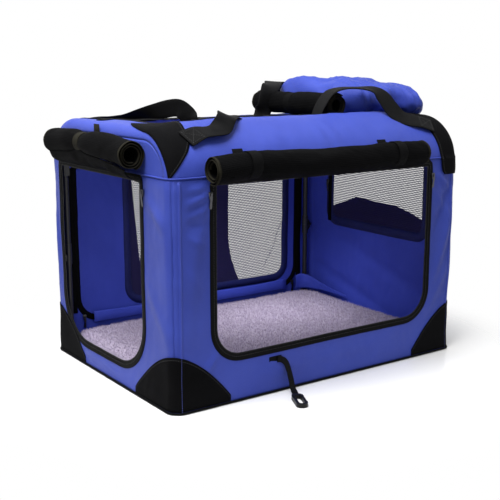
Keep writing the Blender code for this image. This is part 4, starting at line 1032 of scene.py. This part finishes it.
patchCut = ((0.060, 0.321, 0.317), (0.068, 0.326, 0.303), (0.084, 0.333, 0.286), (0.097, 0.338, 0.270),
            (0.120, 0.343, 0.268), (0.150, 0.348, 0.274), (0.185, 0.351, 0.284), (0.222, 0.353, 0.291),
            (0.245, 0.353, 0.305), (0.268, 0.352, 0.327), (0.288, 0.351, 0.345))
longCut = patchCut[:6] + ((0.185, 0.351, 0.283), (0.222, 0.353, 0.287), (0.245, 0.350, 0.291), (0.268, 0.346, 0.294),
                          (0.292, 0.345, 0.296), (0.310, 0.345, 0.299), (0.319, 0.3445, 0.301), (0.326, 0.340, 0.308))


def cutAt(cut, run):
    for (ra, oa, ia), (rb, ob, ib) in zip(cut, cut[1:]):
        if run <= rb:
            share = (run - ra) / (rb - ra)
            return between((oa, ob), share), between((ia, ib), share)
    return cut[-1][1:]


def patchPoint(side, x, s, lift):
    # past the seam the patch lies on the wall below it
    past = abs(s) - roofHalfRun
    if past > -0.004:
        return wallPoint(side, x, cover["seamZ"] - max(past, 0.0), lift + 0.0022)
    return roofPoint(x, s, lift)


def handlePatch(name, side, signX, runs, cut):
    signS = -1 if side == "front" else 1
    rows, uvs, hemRun = [], [], []
    for run in runs:
        outer, inner = cutAt(cut, run)
        if side == "back":
            outer = min(outer, inner + 0.030, 0.334)
            inner = min(inner, outer - 0.004)
        across = [between((inner, outer), k / 14) for k in range(15)]
        rows.append([patchPoint(side, signX * x, signS * run, 0.0016)[0] for x in across])
        uvs.extend([(run, x) for x in across])
        hemRun.append(patchPoint(side, signX * min(inner + 0.005, (inner + outer) / 2), signS * run, 0.0018))
    cloth = sweep(name, rows, blackPolyester, closedAround=False, uvs=uvs)
    if sum((f.normal for f in cloth.data.polygons), Vector()).dot(Vector((signX * 0.3, signS, 1))) < 0:
        cloth.data.flip_normals()
    bake(thicken(cloth, 0.0012))
    return cloth, repeatAlong(name + "Seam", [(hemRun, False)], stitchSizes, sewingThread)


for side, endName in (("front", "left"), ("front", "right"), ("back", "left"), ("back", "right")):
    signX = -1 if endName == "left" else 1
    name = side + endName.capitalize()
    cut = longCut if name == "frontRight" else patchCut
    runs = [cut[0][0] + (cut[-1][0] - cut[0][0]) * i / 44 for i in range(45)]
    onRoof = [run for run in runs if run < roofHalfRun - 0.001]
    below = [run for run in runs if run > roofHalfRun + 0.001]
    if below:
        onRoof.append(roofHalfRun - 0.0002)
    cloth, hem = handlePatch(name + "HandlePatch", side, signX, onRoof, cut)
    dress(cloth, "top", (side + "_" + endName + "_handle_patch",))
    dress(hem, "top")
    if below:
        # its end hangs on over the wall, and folds with it
        for piece in handlePatch(name + "PatchTail", side, signX, [roofHalfRun + 0.0002] + below, cut):
            dress(piece, "base", folds=True)


# Doors rolled up: spirals of knit and cloth round an open middle

def rolledDoor(name, centreAt, sideWays, look, node):
    turns, perTurn, length = look["turns"], 28, look["flat"][0]
    rowCount = round(length / 0.006)
    rows, uvs = [], []
    pointsAround = round(turns * perTurn)
    for i in range(rowCount + 1):
        share = i / rowCount
        row = []
        squeeze = sum(look["pinch"][0] * math.exp(-((share - tie) / look["pinch"][1]) ** 2) for tie in look["ties"])
        flare = 1 + look["flare"] * (2 * abs(share - 0.5)) ** 6
        for k in range(pointsAround + 1):
            turned = k / perTurn
            angle = look["start"] + turned * 2 * math.pi
            layer = turned / turns
            radius = look["radius"] * (look["hollow"] + (1 - look["hollow"]) * layer)
            wave = Vector((share * length * 16, math.cos(angle) * 1.3, math.sin(angle) * 1.3 + look["seed"]))
            slant = Vector((share * length * 42 + math.sin(angle) * 1.2, math.cos(angle) * 1.1, look["seed"]))
            ruffle = noise.noise(wave) * 0.10 + ridge(slant) * 0.05
            radius *= (1 - squeeze * layer) * (flare + ruffle * (0.4 + 0.6 * layer))
            endShift = (layer - 0.5) * look["ragged"] + 0.004 * noise.noise(Vector((turned * 1.7, look["seed"], 1)))
            along = min(max(share + endShift * (1 if share > 0.5 else -1) * (2 * abs(share - 0.5)) ** 8 / length, 0), 1)
            centre, first, second = centreAt(along), *sideWays
            row.append(centre + first * radius * math.cos(angle) + second * radius * math.sin(angle))
            uvs.append((share * length, turned * 2 * math.pi * look["radius"] * 0.8))
        rows.append(row)
    for endName, row in (("Near", rows[0]), ("Far", rows[-1])):
        hemRows = []
        way = (centreAt(0.0) - centreAt(0.1)).normalized()
        for k, point in enumerate(row):
            run = (row[min(k + 1, len(row) - 1)] - row[max(k - 1, 0)]).normalized()
            across = way.cross(run).normalized()
            hemRows.append(ringRound(point, across, way, 0.0011, 2.6))
        hem = sweep(name + "Hem" + endName, hemRows, hemTape, capped=True, uvs=ringUvs(len(hemRows), 0.005, 0.001))
        dress(hem, "top")
    cloth = sweep(name, rows, rolledMesh, closedAround=False, uvs=uvs)
    bake(thicken(cloth, look["thick"], offset=0.0))
    dress(cloth, "top", (node,))


frontRoll = {"x": (-0.283, 0.211), "y": -0.2757, "z": 0.4375}
frontLook = {"turns": 2.8, "start": 0.0, "radius": 0.0242, "hollow": 0.50, "flare": 0.0, "ragged": 0.008,
             "ties": (0.158, 0.856), "pinch": (0.14, 0.035), "seed": 3.0, "thick": 0.0011, "flat": (0.494, 0.330)}


def frontRollAt(share):
    x = between(frontRoll["x"], share)
    droop = 0.0020 * math.sin(share * 9.0) - 0.004 * max(0.0, 0.12 - share) / 0.12
    return Vector((x, frontRoll["y"], frontRoll["z"] + droop))


rolledDoor("frontDoorRolled", frontRollAt, (Vector((0, 1, 0)), up), frontLook, "front_door_roll")

leftRoll = {"x": -0.3782, "y": (-0.163, 0.153), "z": 0.466, "sag": 0.008, "tieY": 0.020}
leftLook = {"turns": 3.0, "start": math.radians(250), "radius": 0.0252, "hollow": 0.50, "flare": 0.02, "ragged": 0.003,
            "ties": (0.586,), "pinch": (0.36, 0.085), "seed": 8.0, "thick": 0.0011, "flat": (0.316, 0.350)}


def leftRollAt(share):
    y = between(leftRoll["y"], share)
    sag = leftRoll["sag"] * ((y - leftRoll["tieY"]) / 0.160) ** 2
    return Vector((leftRoll["x"], y, leftRoll["z"] - sag))


rolledDoor("leftDoorRolled", leftRollAt, (Vector((-1, 0, 0)), up), leftLook, "left_door_roll")

topRoll = {"x": 0.112, "y": (-0.130, 0.130), "z": 0.5272}
topLook = {"turns": 3.6, "start": -0.5 * math.pi, "radius": 0.0232, "hollow": 0.50, "flare": 0.02, "ragged": 0.008,
           "ties": (0.54,), "pinch": (0.14, 0.035), "seed": 14.0, "thick": 0.0011, "flat": (0.260, 0.355)}
rolledDoor("topDoorRolled", lambda share: Vector((topRoll["x"], between(topRoll["y"], share), topRoll["z"])),
           (Vector((-1, 0, 0)), up), topLook, "top_door_roll")


# The rolled door's cloth, from its seam over the doorway up to the roll
def drape(name, footAt, headAt, sag, count):
    rows, uvs = [], []
    for i in range(count + 1):
        share = i / count
        foot, head = footAt(share), headAt(share)
        row = []
        for k in range(9):
            part = k / 8
            point = foot.lerp(head, part)
            ripple = noise.noise(Vector((share * 11, part * 1.4, 6.0))) * 0.004
            row.append(point + sag * (math.sin(part * math.pi) * (0.006 + ripple)))
            uvs.append((share * 0.5, part * 0.05))
        rows.append(row)
    cloth = sweep(name, rows, rolledMesh, closedAround=False, uvs=uvs)
    bake(thicken(cloth, 0.0014, offset=0.0))
    dress(cloth, "top")


def frontFoot(share):
    x = frontRoll["x"][0] + 0.012 + 0.470 * share
    edge = 0.408 + 0.002 * noise.noise(Vector((x * 30, 0, 0)))
    return Vector((x, -cover["halfWidth"] - 0.0034, edge))


def frontHead(share):
    x = frontRoll["x"][0] + 0.004 + 0.486 * share
    return frontRollAt(share) + Vector((x - frontRollAt(share).x, -0.019, -0.013))


drape("frontDoorDrape", frontFoot, frontHead, Vector((0, -0.6, -0.8)), 90)


def leftFoot(share):
    y = -0.150 + 0.330 * share
    return Vector((-cover["halfLength"] - 0.0034, y, 0.4155 - 0.010 * max(0.0, 0.25 - share) / 0.25))


def leftHead(share):
    gather = 0.36 * math.exp(-((share - leftLook["ties"][0]) / leftLook["pinch"][1]) ** 2)
    return leftRollAt(share) + Vector((-0.013, 0, -0.019 * (1 - gather) - 0.006 * max(0.0, 0.4 - share) / 0.4))


drape("leftDoorDrape", leftFoot, leftHead, Vector((-0.8, 0, -0.6)), 60)
print("doors rolled")


# Ties round the rolls

tie = {"width": 0.022, "thick": 0.0018}


def tieLoop(name, centre, sideWays, radius, tail, material, node):
    first, second = sideWays
    centres, ways = [], []
    for i in range(41):
        angle = math.radians(tail["from"] + tail["turn"] * i / 40)
        way = first * math.cos(angle) + second * math.sin(angle)
        centres.append(centre + way * (radius * (1 + 0.02 * math.sin(angle * 3))))
        ways.append(way)
    for point, way in tail["points"]:
        centres.append(Vector(point))
        ways.append(Vector(way).normalized())
    strap = ribbon(name, centres, ways, tie["width"], tie["thick"], material)
    dress(strap, "top", (node,))


def shoulderAt(angle, offset, sign=-1):
    turn = math.radians(angle)
    reach = cover["shoulderR"] + offset
    return Vector((0, sign * (shoulderY + reach * math.cos(turn)), shoulderZ + reach * math.sin(turn)))


for name, x, node in (("frontRollTieLeft", -0.205, "front_roll_left_tie"),
                      ("frontRollTieRight", 0.140, "front_roll_right_tie")):
    points = []
    for angle in (16, 22, 28, 34):
        spot = shoulderAt(angle, 0.0016)
        spot.x = x
        points.append((spot, (0, -math.cos(math.radians(angle)), math.sin(math.radians(angle)))))
    tail = {"from": 70, "turn": 350, "points": points}
    centre = frontRollAt((x - frontRoll["x"][0]) / frontLook["flat"][0])
    tieLoop(name, centre, (Vector((0, 1, 0)), up), 0.0236, tail, tieTape, node)

leftCentre = leftRollAt((leftRoll["tieY"] - leftRoll["y"][0]) / leftLook["flat"][0])
tieLoop("leftRollTie", leftCentre, (Vector((1, 0, 0)), up), 0.0185,
        {"from": -300, "turn": 350,
         "points": [((-0.3516, leftRoll["tieY"], z), (-1, 0, 0)) for z in (0.474, 0.486, 0.499)]},
        hemTape, "left_roll_tie")
tieLoop("topRollTie", Vector((0.112, 0.010, 0.5270)), (Vector((1, 0, 0)), up), 0.0222,
        {"from": -90, "turn": 360, "points": []}, tieTape, "top_roll_tie")


# Carry handles

handle = {"width": 0.038, "thick": 0.0026, "patchEnd": 0.300, "boxRun": (0.12, 0.95), "boxHalf": 0.014}
handleRoutes = {
    "front": (-1, ((-.268, .038, -.009, 62), (-.248, .038, -.008, 68), (-.230, .039, -.006, 64),
                   (-.216, .042, .001, 40),
                   (-.206, .047, .011, 24), (-.197, .057, .017, 48), (-.178, .080, .015, 76), (-.150, .100, .006, 88),
                   (-.120, .118, -.012, 90), (-.080, .126, -.026, 90), (-.030, .126, -.030, 90),
                   (.030, .126, -.026, 90), (.058, .126, -.008, 90), (.074, .124, .024, 90), (.096, .122, .050, 90),
                   (.128, .120, .059, 88), (.168, .108, .059, 84), (.194, .094, .055, 64), (.208, .081, .040, 24),
                   (.219, .068, .018, 12), (.230, .057, .003, 30), (.248, .047, -.005, 48), (.270, .038, -.009, 52))),
    "back": (1, ((-.262, .034, -.0130, 50), (-.232, .038, -.0120, 52), (-.205, .046, -.0085, 50),
                 (-.182, .072, -.001, 34),
                 (-.155, .094, .0065, 12), (-.126, .107, .0145, 4), (-.104, .115, .0155, 8), (-.088, .121, .003, 26),
                 (-.074, .126, -.014, 70), (-.040, .128, -.026, 90), (.028, .128, -.027, 90), (.056, .140, -.022, 105),
                 (.072, .160, -.004, 130), (.080, .172, .012, 152), (.084, .176, .034, 166), (.094, .172, .054, 140),
                 (.120, .150, .063, 100), (.150, .112, .068, 96), (.190, .085, .060, 80), (.235, .056, .024, 60),
                 (.266, .038, -.006, 52))),
}
for side, (sign, route) in handleRoutes.items():
    foot = (*shoulderAt(50, 0.0035, sign).yz, 50)
    points = [(-handle["patchEnd"], *foot)]
    points += [(x, sign * (cover["halfWidth"] - inset), cover["topZ"] + rise, angle) for x, inset, rise, angle in route]
    points += [(handle["patchEnd"], *foot)]
    centres = smoothPath([p[:3] for p in points], 6)
    angles = smoothPath([(p[3], 0, 0) for p in points], 6)
    ways = [Vector((0, sign * math.cos(math.radians(a.x)), math.sin(math.radians(a.x)))) for a in angles]
    strap = ribbon(side + "HandleStrap", centres, ways, handle["width"], handle["thick"], nylonWebbing)
    dress(strap, side + "_handle", (side + "_handle",))
    # a box and cross of stitches at each end
    runs = []
    for ends in (centres[:7], centres[-1:-8:-1]):
        faces = ways[:7] if ends[0] == centres[0] else ways[-1:-8:-1]
        (low, high), half = handle["boxRun"], handle["boxHalf"]
        corners = [(low, -half), (low, half), (high, half), (high, -half)]
        for a, b in ((0, 1), (1, 2), (2, 3), (3, 0), (0, 2), (1, 3)):
            run = []
            for i in range(9):
                share, across = Vector(corners[a]).lerp(Vector(corners[b]), i / 8)
                index = min(int(share * 6), 5)
                spot = ends[index].lerp(ends[index + 1], share * 6 - index)
                normal = faces[index].lerp(faces[index + 1], share * 6 - index).normalized()
                sideWay = (ends[index + 1] - ends[index]).normalized().cross(normal).normalized()
                run.append((spot + sideWay * across + normal * 0.0015, normal))
            runs.append((run, False))
    box = repeatAlong(side + "HandleStitches", runs, stitchSizes, sewingThread)
    dress(box, side + "_handle")
print("straps made")


# The cover bundled on the roof

bundle = {"x": (0.143, 0.348), "y": (-0.098, 0.112), "swell": 0.030, "high": 0.574, "end": 0.526,
          "shares": (0, .06, .27, .62, .85, 1), "tops": (.82, 1, 1, .97, .74, .10), "fronts": (0, 0, .6, 1.1, 1.9, 2.2)}


def along(values, share):
    stops = bundle["shares"]
    for i in range(len(stops) - 1):
        if share <= stops[i + 1]:
            part = (share - stops[i]) / (stops[i + 1] - stops[i])
            return between(values[i:i + 2], part * part * (3 - 2 * part))
    return values[-1]


rows, uvs = [], []
aroundSteps = 72
for i in range(61):
    share = i / 60
    x = between(bundle["x"], share)
    top = between((bundle["end"], bundle["high"]), along(bundle["tops"], share))
    front = bundle["y"][0] - bundle["swell"] * along(bundle["fronts"], share)
    closing = math.sqrt(max(0.0, 1 - (2 * abs(share - 0.5)) ** 10))
    middle, half = (front + bundle["y"][1]) / 2, (bundle["y"][1] - front) / 2
    rise = (top - cover["topZ"]) / 2
    row = []
    for k in range(aroundSteps):
        angle = 2 * math.pi * k / aroundSteps
        cosine, sine = math.cos(angle), math.sin(angle)
        across = math.copysign(abs(cosine) ** 0.6, cosine) * half * (0.55 + 0.45 * closing)
        lift = math.copysign(abs(sine) ** 0.75, sine) * rise * (0.25 + 0.75 * closing)
        base = Vector((x, middle + across, cover["topZ"] + rise + lift))
        fold = noise.noise(base * 16 + Vector((3, 0, 0))) * 0.010
        fold += ridge(Vector((base.x * 34 + base.y * 18, base.y * 12, base.z * 22))) * 0.0062
        fold += ridge(Vector((base.x * 58 + base.y * 20, base.y * 34 - base.z * 30, 9.0))) * 0.0036
        way = Vector((0, cosine / half, sine / rise)).normalized()
        point = base + way * fold
        point.z = max(point.z, cover["topZ"] + 0.0012)
        row.append(point)
        uvs.append((x, angle * 0.06))
    rows.append(row)
bundlePiece = sweep("coverBundle", rows, foldedPolyester, capped=True, uvs=uvs)
dress(bundlePiece, "top", ("cover_bundle",))
print("bundle made")


# Plush mat

mat = {"halfX": 0.3255, "halfY": 0.2210, "low": 0.0061, "top": 0.0455, "edge": 0.014, "corner": 0.030,
       "pressure": 4.0, "frames": 10, "cap": 0.005}
outline = evenly(roundedOutline((-mat["halfX"], -mat["halfY"]), (mat["halfX"], mat["halfY"]), mat["corner"],
                                mat["corner"]), 0.010)
outSides = normalsOf(outline)
profile = [(-0.006, mat["low"]), (0.0, mat["low"] + 0.006), (0.0, mat["top"] - mat["edge"])]
profile += [(-mat["edge"] * (1 - math.cos(t)), mat["top"] - mat["edge"] * (1 - math.sin(t)))
            for t in (math.pi / 2 * i / 6 for i in range(1, 7))]
builder = bmesh.new()
ringList = []
for inset, z in profile:
    ringList.append([builder.verts.new((u + nu * inset, v + nv * inset, z))
                     for (u, v), (nu, nv) in zip(outline, outSides)])
for lower, upper in zip(ringList, ringList[1:]):
    for k in range(len(outline)):
        j = (k + 1) % len(outline)
        builder.faces.new((lower[k], lower[j], upper[j], upper[k]))
builder.faces.new(list(reversed(ringList[0])))
builder.faces.new(ringList[-1])
matMesh = bpy.data.meshes.new("plushMat")
builder.to_mesh(matMesh)
builder.free()
matPiece = addObject("plushMat", matMesh)
remesh = matPiece.modifiers.new("even", "REMESH")
remesh.mode = "VOXEL"
remesh.voxel_size = 0.006
bake(matPiece)
# Cloth under pressure crowns the pad over its held underside, alone in a scene of its own
bench = bpy.data.scenes.new("bench")
bench.collection.objects.link(matPiece)
start = [vertex.co.copy() for vertex in matPiece.data.vertices]
held = matPiece.vertex_groups.new(name="held")
held.add([i for i, spot in enumerate(start) if spot.z < 0.012], 1.0, "REPLACE")
settings = matPiece.modifiers.new("swell", "CLOTH").settings
settings.use_pressure = True
settings.uniform_pressure_force = mat["pressure"]
settings.effector_weights.gravity = 0
settings.vertex_group_mass = "held"
for frameNumber in range(1, mat["frames"] + 1):
    bench.frame_set(frameNumber)
puffed = matPiece.evaluated_get(bench.view_layers[0].depsgraph).data.vertices
moves = [vertex.co - before for vertex, before in zip(puffed, start)]
matPiece.modifiers.clear()
matPiece.vertex_groups.clear()
bpy.data.scenes.remove(bench)
for vertex, before, move in zip(matPiece.data.vertices, start, moves):
    vertex.co = before + move * mat["cap"] / (mat["cap"] + move.length)
print("mat swelled by up to", round(max(move.length for move in moves), 4))
subdivide = matPiece.modifiers.new("finer", "SUBSURF")
subdivide.levels = subdivide.render_levels = 1
bake(matPiece)
for vertex in matPiece.data.vertices:
    spot = vertex.co.copy()
    if spot.z > 0.012:
        swell = noise.noise(spot * 8) * 0.003 + noise.noise(spot * 60) * 0.0016 + noise.noise(spot * 240) * 0.0012
        vertex.co += vertex.normal * (swell - 0.0018)
matPiece.data.shade_smooth()
matPiece.data.materials.append(plushPile)


def pileTree():
    tree, given = newTree("plushPile", {"Density": 30000.0, "Lowest": 0.036, "Tuft length": 0.005,
                                        "Tuft width": 0.0011})
    place = addNode(tree, "GeometryNodeInputPosition").outputs[0]
    height = addNode(tree, "ShaderNodeSeparateXYZ", links={0: place}).outputs["Z"]
    upper = addNode(tree, "FunctionNodeCompare", {"operation": "GREATER_THAN"}, None,
                    {"A": height, "B": given["Lowest"]}).outputs[0]
    spots = addNode(tree, "GeometryNodeDistributePointsOnFaces", None, {"Seed": 5},
                    {"Mesh": given["Geometry"], "Selection": upper, "Density": given["Density"]})
    tuft = addNode(tree, "GeometryNodeMeshCone", {"fill_type": "NONE"},
                   {"Vertices": 3, "Radius Top": 0.05, "Radius Bottom": 0.5, "Depth": 1.0}).outputs["Mesh"]
    lean = addNode(tree, "FunctionNodeRandomValue", {"data_type": "FLOAT_VECTOR"},
                   {"Min": (-0.65, -0.65, -3.1), "Max": (0.65, 0.65, 3.1), "Seed": 9}).outputs[0]
    turned = addNode(tree, "FunctionNodeRotateRotation", {"rotation_space": "LOCAL"}, None,
                     {"Rotation": spots.outputs["Rotation"], "Rotate By": lean}).outputs[0]
    # shorter where the side turns down
    uprightness = addNode(tree, "ShaderNodeSeparateXYZ", links={0: spots.outputs["Normal"]}).outputs["Z"]
    share = addNode(tree, "ShaderNodeMapRange", None, {"From Min": 0.3, "From Max": 0.9, "To Min": 0.35, "To Max": 1.0},
                    {"Value": uprightness}).outputs[0]
    length = addNode(tree, "ShaderNodeMath", {"operation": "MULTIPLY"}, None, {0: share, 1: given["Tuft length"]})
    size = addNode(tree, "ShaderNodeCombineXYZ", links={0: given["Tuft width"], 1: given["Tuft width"],
                                                        2: length.outputs[0]}).outputs[0]
    return finishTree(tree, given, {"Points": spots.outputs["Points"], "Instance": tuft, "Rotation": turned,
                                    "Scale": size})


pile = growOn(addObject("plushMatPile", matPiece.data.copy()), pileTree(),
              {"Density": 70000.0, "Lowest": 0.037, "Tuft length": 0.0044, "Tuft width": 0.0015}, plushPile)
print("pile tufts:", len(pile.data.polygons) // 3)
dress(pile, "base")
dress(matPiece, "base", ("pet_mat",))
print("mat made")


# Sliders with their pulls

def slider(name, outWay, node=None, box=None):
    low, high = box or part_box(node)
    middle = (low + high) / 2
    widthWay = up.cross(outWay).normalized()
    back = middle - outWay * (abs((high - low).dot(outWay)) / 2)
    topZ = high.z
    builder = bmesh.new()

    def place(w, d, o):
        return back + widthWay * w + up * (topZ - d - middle.z) + outWay * o

    def block(stations):
        rings = []
        for d, half, lowO, highO in stations:
            edge = min(half, (highO - lowO) / 2) * 0.4
            ring = [(-half + edge, lowO), (half - edge, lowO), (half, lowO + edge), (half, highO - edge),
                    (half - edge, highO), (-half + edge, highO), (-half, highO - edge), (-half, lowO + edge)]
            rings.append([builder.verts.new(place(w, d, o)) for w, o in ring])
        for a, b in zip(rings, rings[1:]):
            for k in range(8):
                builder.faces.new((a[k], a[(k + 1) % 8], b[(k + 1) % 8], b[k]))
        builder.faces.new(list(reversed(rings[0])))
        builder.faces.new(rings[-1])

    block(((0.0002, .0030, 0, .0022), (.0010, .0042, 0, .0028), (.0040, .0044, 0, .0030), (.0070, .0036, 0, .0030),
           (.0110, .0031, 0, .0028), (.0126, .0026, 0, .0022)))
    block(((.0022, .0009, .0024, .0030), (.0030, .0010, .0026, .0046), (.0060, .0010, .0036, .0048),
           (.0095, .0010, .0026, .0046), (.0104, .0009, .0024, .0030)))
    block(((.0080, .0022, .0032, .0044), (.0092, .0030, .0032, .0044), (.0150, .0024, .0030, .0042),
           (.0180, .0020, .0026, .0038), (.0220, .0024, .0018, .0032), (.0275, .0027, .0010, .0024),
           (.0300, .0023, .0008, .0021), (.0308, .0011, .0008, .0018)))
    mesh = bpy.data.meshes.new(name)
    settle(builder, mesh)
    mesh.shade_smooth()
    mesh.set_sharp_from_angle(angle=math.radians(40))
    mesh.materials.append(platedZinc)
    dress(addObject(name, mesh), node or "base", (node,) if node else (), folds=node is None)


for node, outWay in (("front_left_slider", Vector((0, -1, 0))), ("front_right_slider", Vector((0, -1, 0))),
                     ("left_door_slider", Vector((-1, 0, 0))), ("back_left_slider", Vector((0, -1, 0))),
                     ("back_right_slider", Vector((0, -1, 0)))):
    slider(camel(node), outWay, node)
for name, y, z in (("windowUpperSlider", 0.168, 0.372), ("windowLowerSlider", 0.168, 0.330)):
    slider(name, Vector((-1, 0, 0)),
           box=(Vector((0.3432, y - 0.0045, z - 0.037)), Vector((0.3462, y + 0.0045, z))))
print("sliders made")


# Tether

tetherRoute = ((-.126, .0044, .0660), (-.117, .0052, .0640), (-.108, .0070, .0560), (-.104, .0105, .0420),
               (-.103, .0160, .0260), (-.105, .0240, .0120), (-.109, .0350, .0068), (-.114, .0460, .0052))
tetherFaces = ((0, -1, 0), (0, -1, 0), (.1, -1, .05), (.1, -1, .15), (0, -1, .35), (0, -.75, .9), (0, -.1, 1),
               (0, 0, 1))
centres = smoothPath([(x, -cover["halfWidth"] - out, z) for x, out, z in tetherRoute], 6)
ways = [way.normalized() for way in smoothPath(tetherFaces, 6)]
tetherPiece = ribbon("tetherStrap", centres, ways, 0.012, 0.002, nylonWebbing)
dress(tetherPiece, "tether", ("tether_strap",))

legs = [f"{side}_{endName}_{part}_leg" for side in ("front", "back") for endName in ("left", "right")
        for part in ("lower", "upper")]
for material, nodes in ((nylonWebbing, ["tether_tab"]), (mouldedAcetal, ["snap_hook", "hook_gate"]),
                        (blackPolyester, ["bottom_cover"]), (hardboard, ["floor_board"]),
                        (powderSteel, ["base_frame", "left_arch_tube", "right_arch_tube", "front_top_rail",
                                       "back_top_rail"] + legs)):
    for node in nodes:
        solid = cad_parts[node]
        solid.data.materials.clear()
        solid.data.materials.append(material)
print("solids dressed")


# Floor, light and camera

floorMaterial, floorTree, floorShader = newMaterial("paleFloor", {"Base Color": linear("#fafafa"), "Roughness": 0.14,
                                                                  "Specular IOR Level": 0.2})
place = addNode(floorTree, "ShaderNodeTexCoord").outputs["Object"]
reach = addNode(floorTree, "ShaderNodeVectorMath", {"operation": "LENGTH"}, links={0: place}).outputs["Value"]
fade = addNode(floorTree, "ShaderNodeMapRange", {"interpolation_type": "SMOOTHSTEP"},
               {"From Min": 0.36, "From Max": 0.66, "To Min": 1.0, "To Max": 0.0}, {"Value": reach})
floorTree.links.new(fade.outputs[0], floorShader.inputs["Alpha"])
floorMesh = bpy.data.meshes.new("floor")
floorMesh.from_pydata([(-1.3, -1.3, 0), (1.3, -1.3, 0), (1.3, 1.3, 0), (-1.3, 1.3, 0)], [], [(0, 1, 2, 3)])
floorMesh.materials.append(floorMaterial)
floor = addObject("floor", floorMesh)
floor.location.z = -0.0002
floor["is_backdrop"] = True

world = bpy.data.worlds.new("studio")
world.use_nodes = True
scene.world = world
worldTree = world.node_tree
background = worldTree.nodes["Background"]
ray = addNode(worldTree, "ShaderNodeLightPath").outputs
mirrored = addNode(worldTree, "ShaderNodeMath", {"operation": "MAXIMUM"}, None,
                   {0: ray["Is Glossy Ray"], 1: ray["Is Transmission Ray"]}).outputs[0]
shown = addNode(worldTree, "ShaderNodeMath", {"operation": "MAXIMUM"}, None, {0: ray["Is Camera Ray"], 1: mirrored})
brightness = addNode(worldTree, "ShaderNodeMapRange", None, {"To Min": 0.42, "To Max": 1.0},
                     {"Value": shown.outputs[0]})
worldTree.links.new(brightness.outputs[0], background.inputs["Strength"])
background.inputs["Color"].default_value = (1, 1, 1, 1)

lamps = (
    ("topSoftbox", (-0.9, -0.3, 2.3), (0, 0, 0.3), 1.3, 96.0),
    ("leftSoftbox", (-2.4, -0.8, 1.3), (0, 0, 0.25), 0.9, 6.0),
    ("frontSoftbox", (0.2, -2.8, 1.2), (0, 0, 0.2), 1.0, 5.0),
)
for name, place, aim, size, power in lamps:
    light = bpy.data.lights.new(name, "AREA")
    light.size = size
    light.energy = power
    lamp = addObject(name, light)
    lamp.location = place
    lamp.rotation_euler = (Vector(aim) - Vector(place)).to_track_quat("-Z", "Y").to_euler()

view = {"lens": 65.8, "sensor": 36, "place": (-1.1182, -1.5628, 0.6096), "down": 11.5, "turn": -35.31}
camera = bpy.data.cameras.new("photoView")
camera.lens = view["lens"]
camera.sensor_width = view["sensor"]
viewer = addObject("photoView", camera)
viewer.location = view["place"]
viewer.rotation_euler = (math.radians(90 - view["down"]), 0, math.radians(view["turn"]))
scene.camera = viewer
scene.view_settings.view_transform = "Standard"

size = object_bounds()
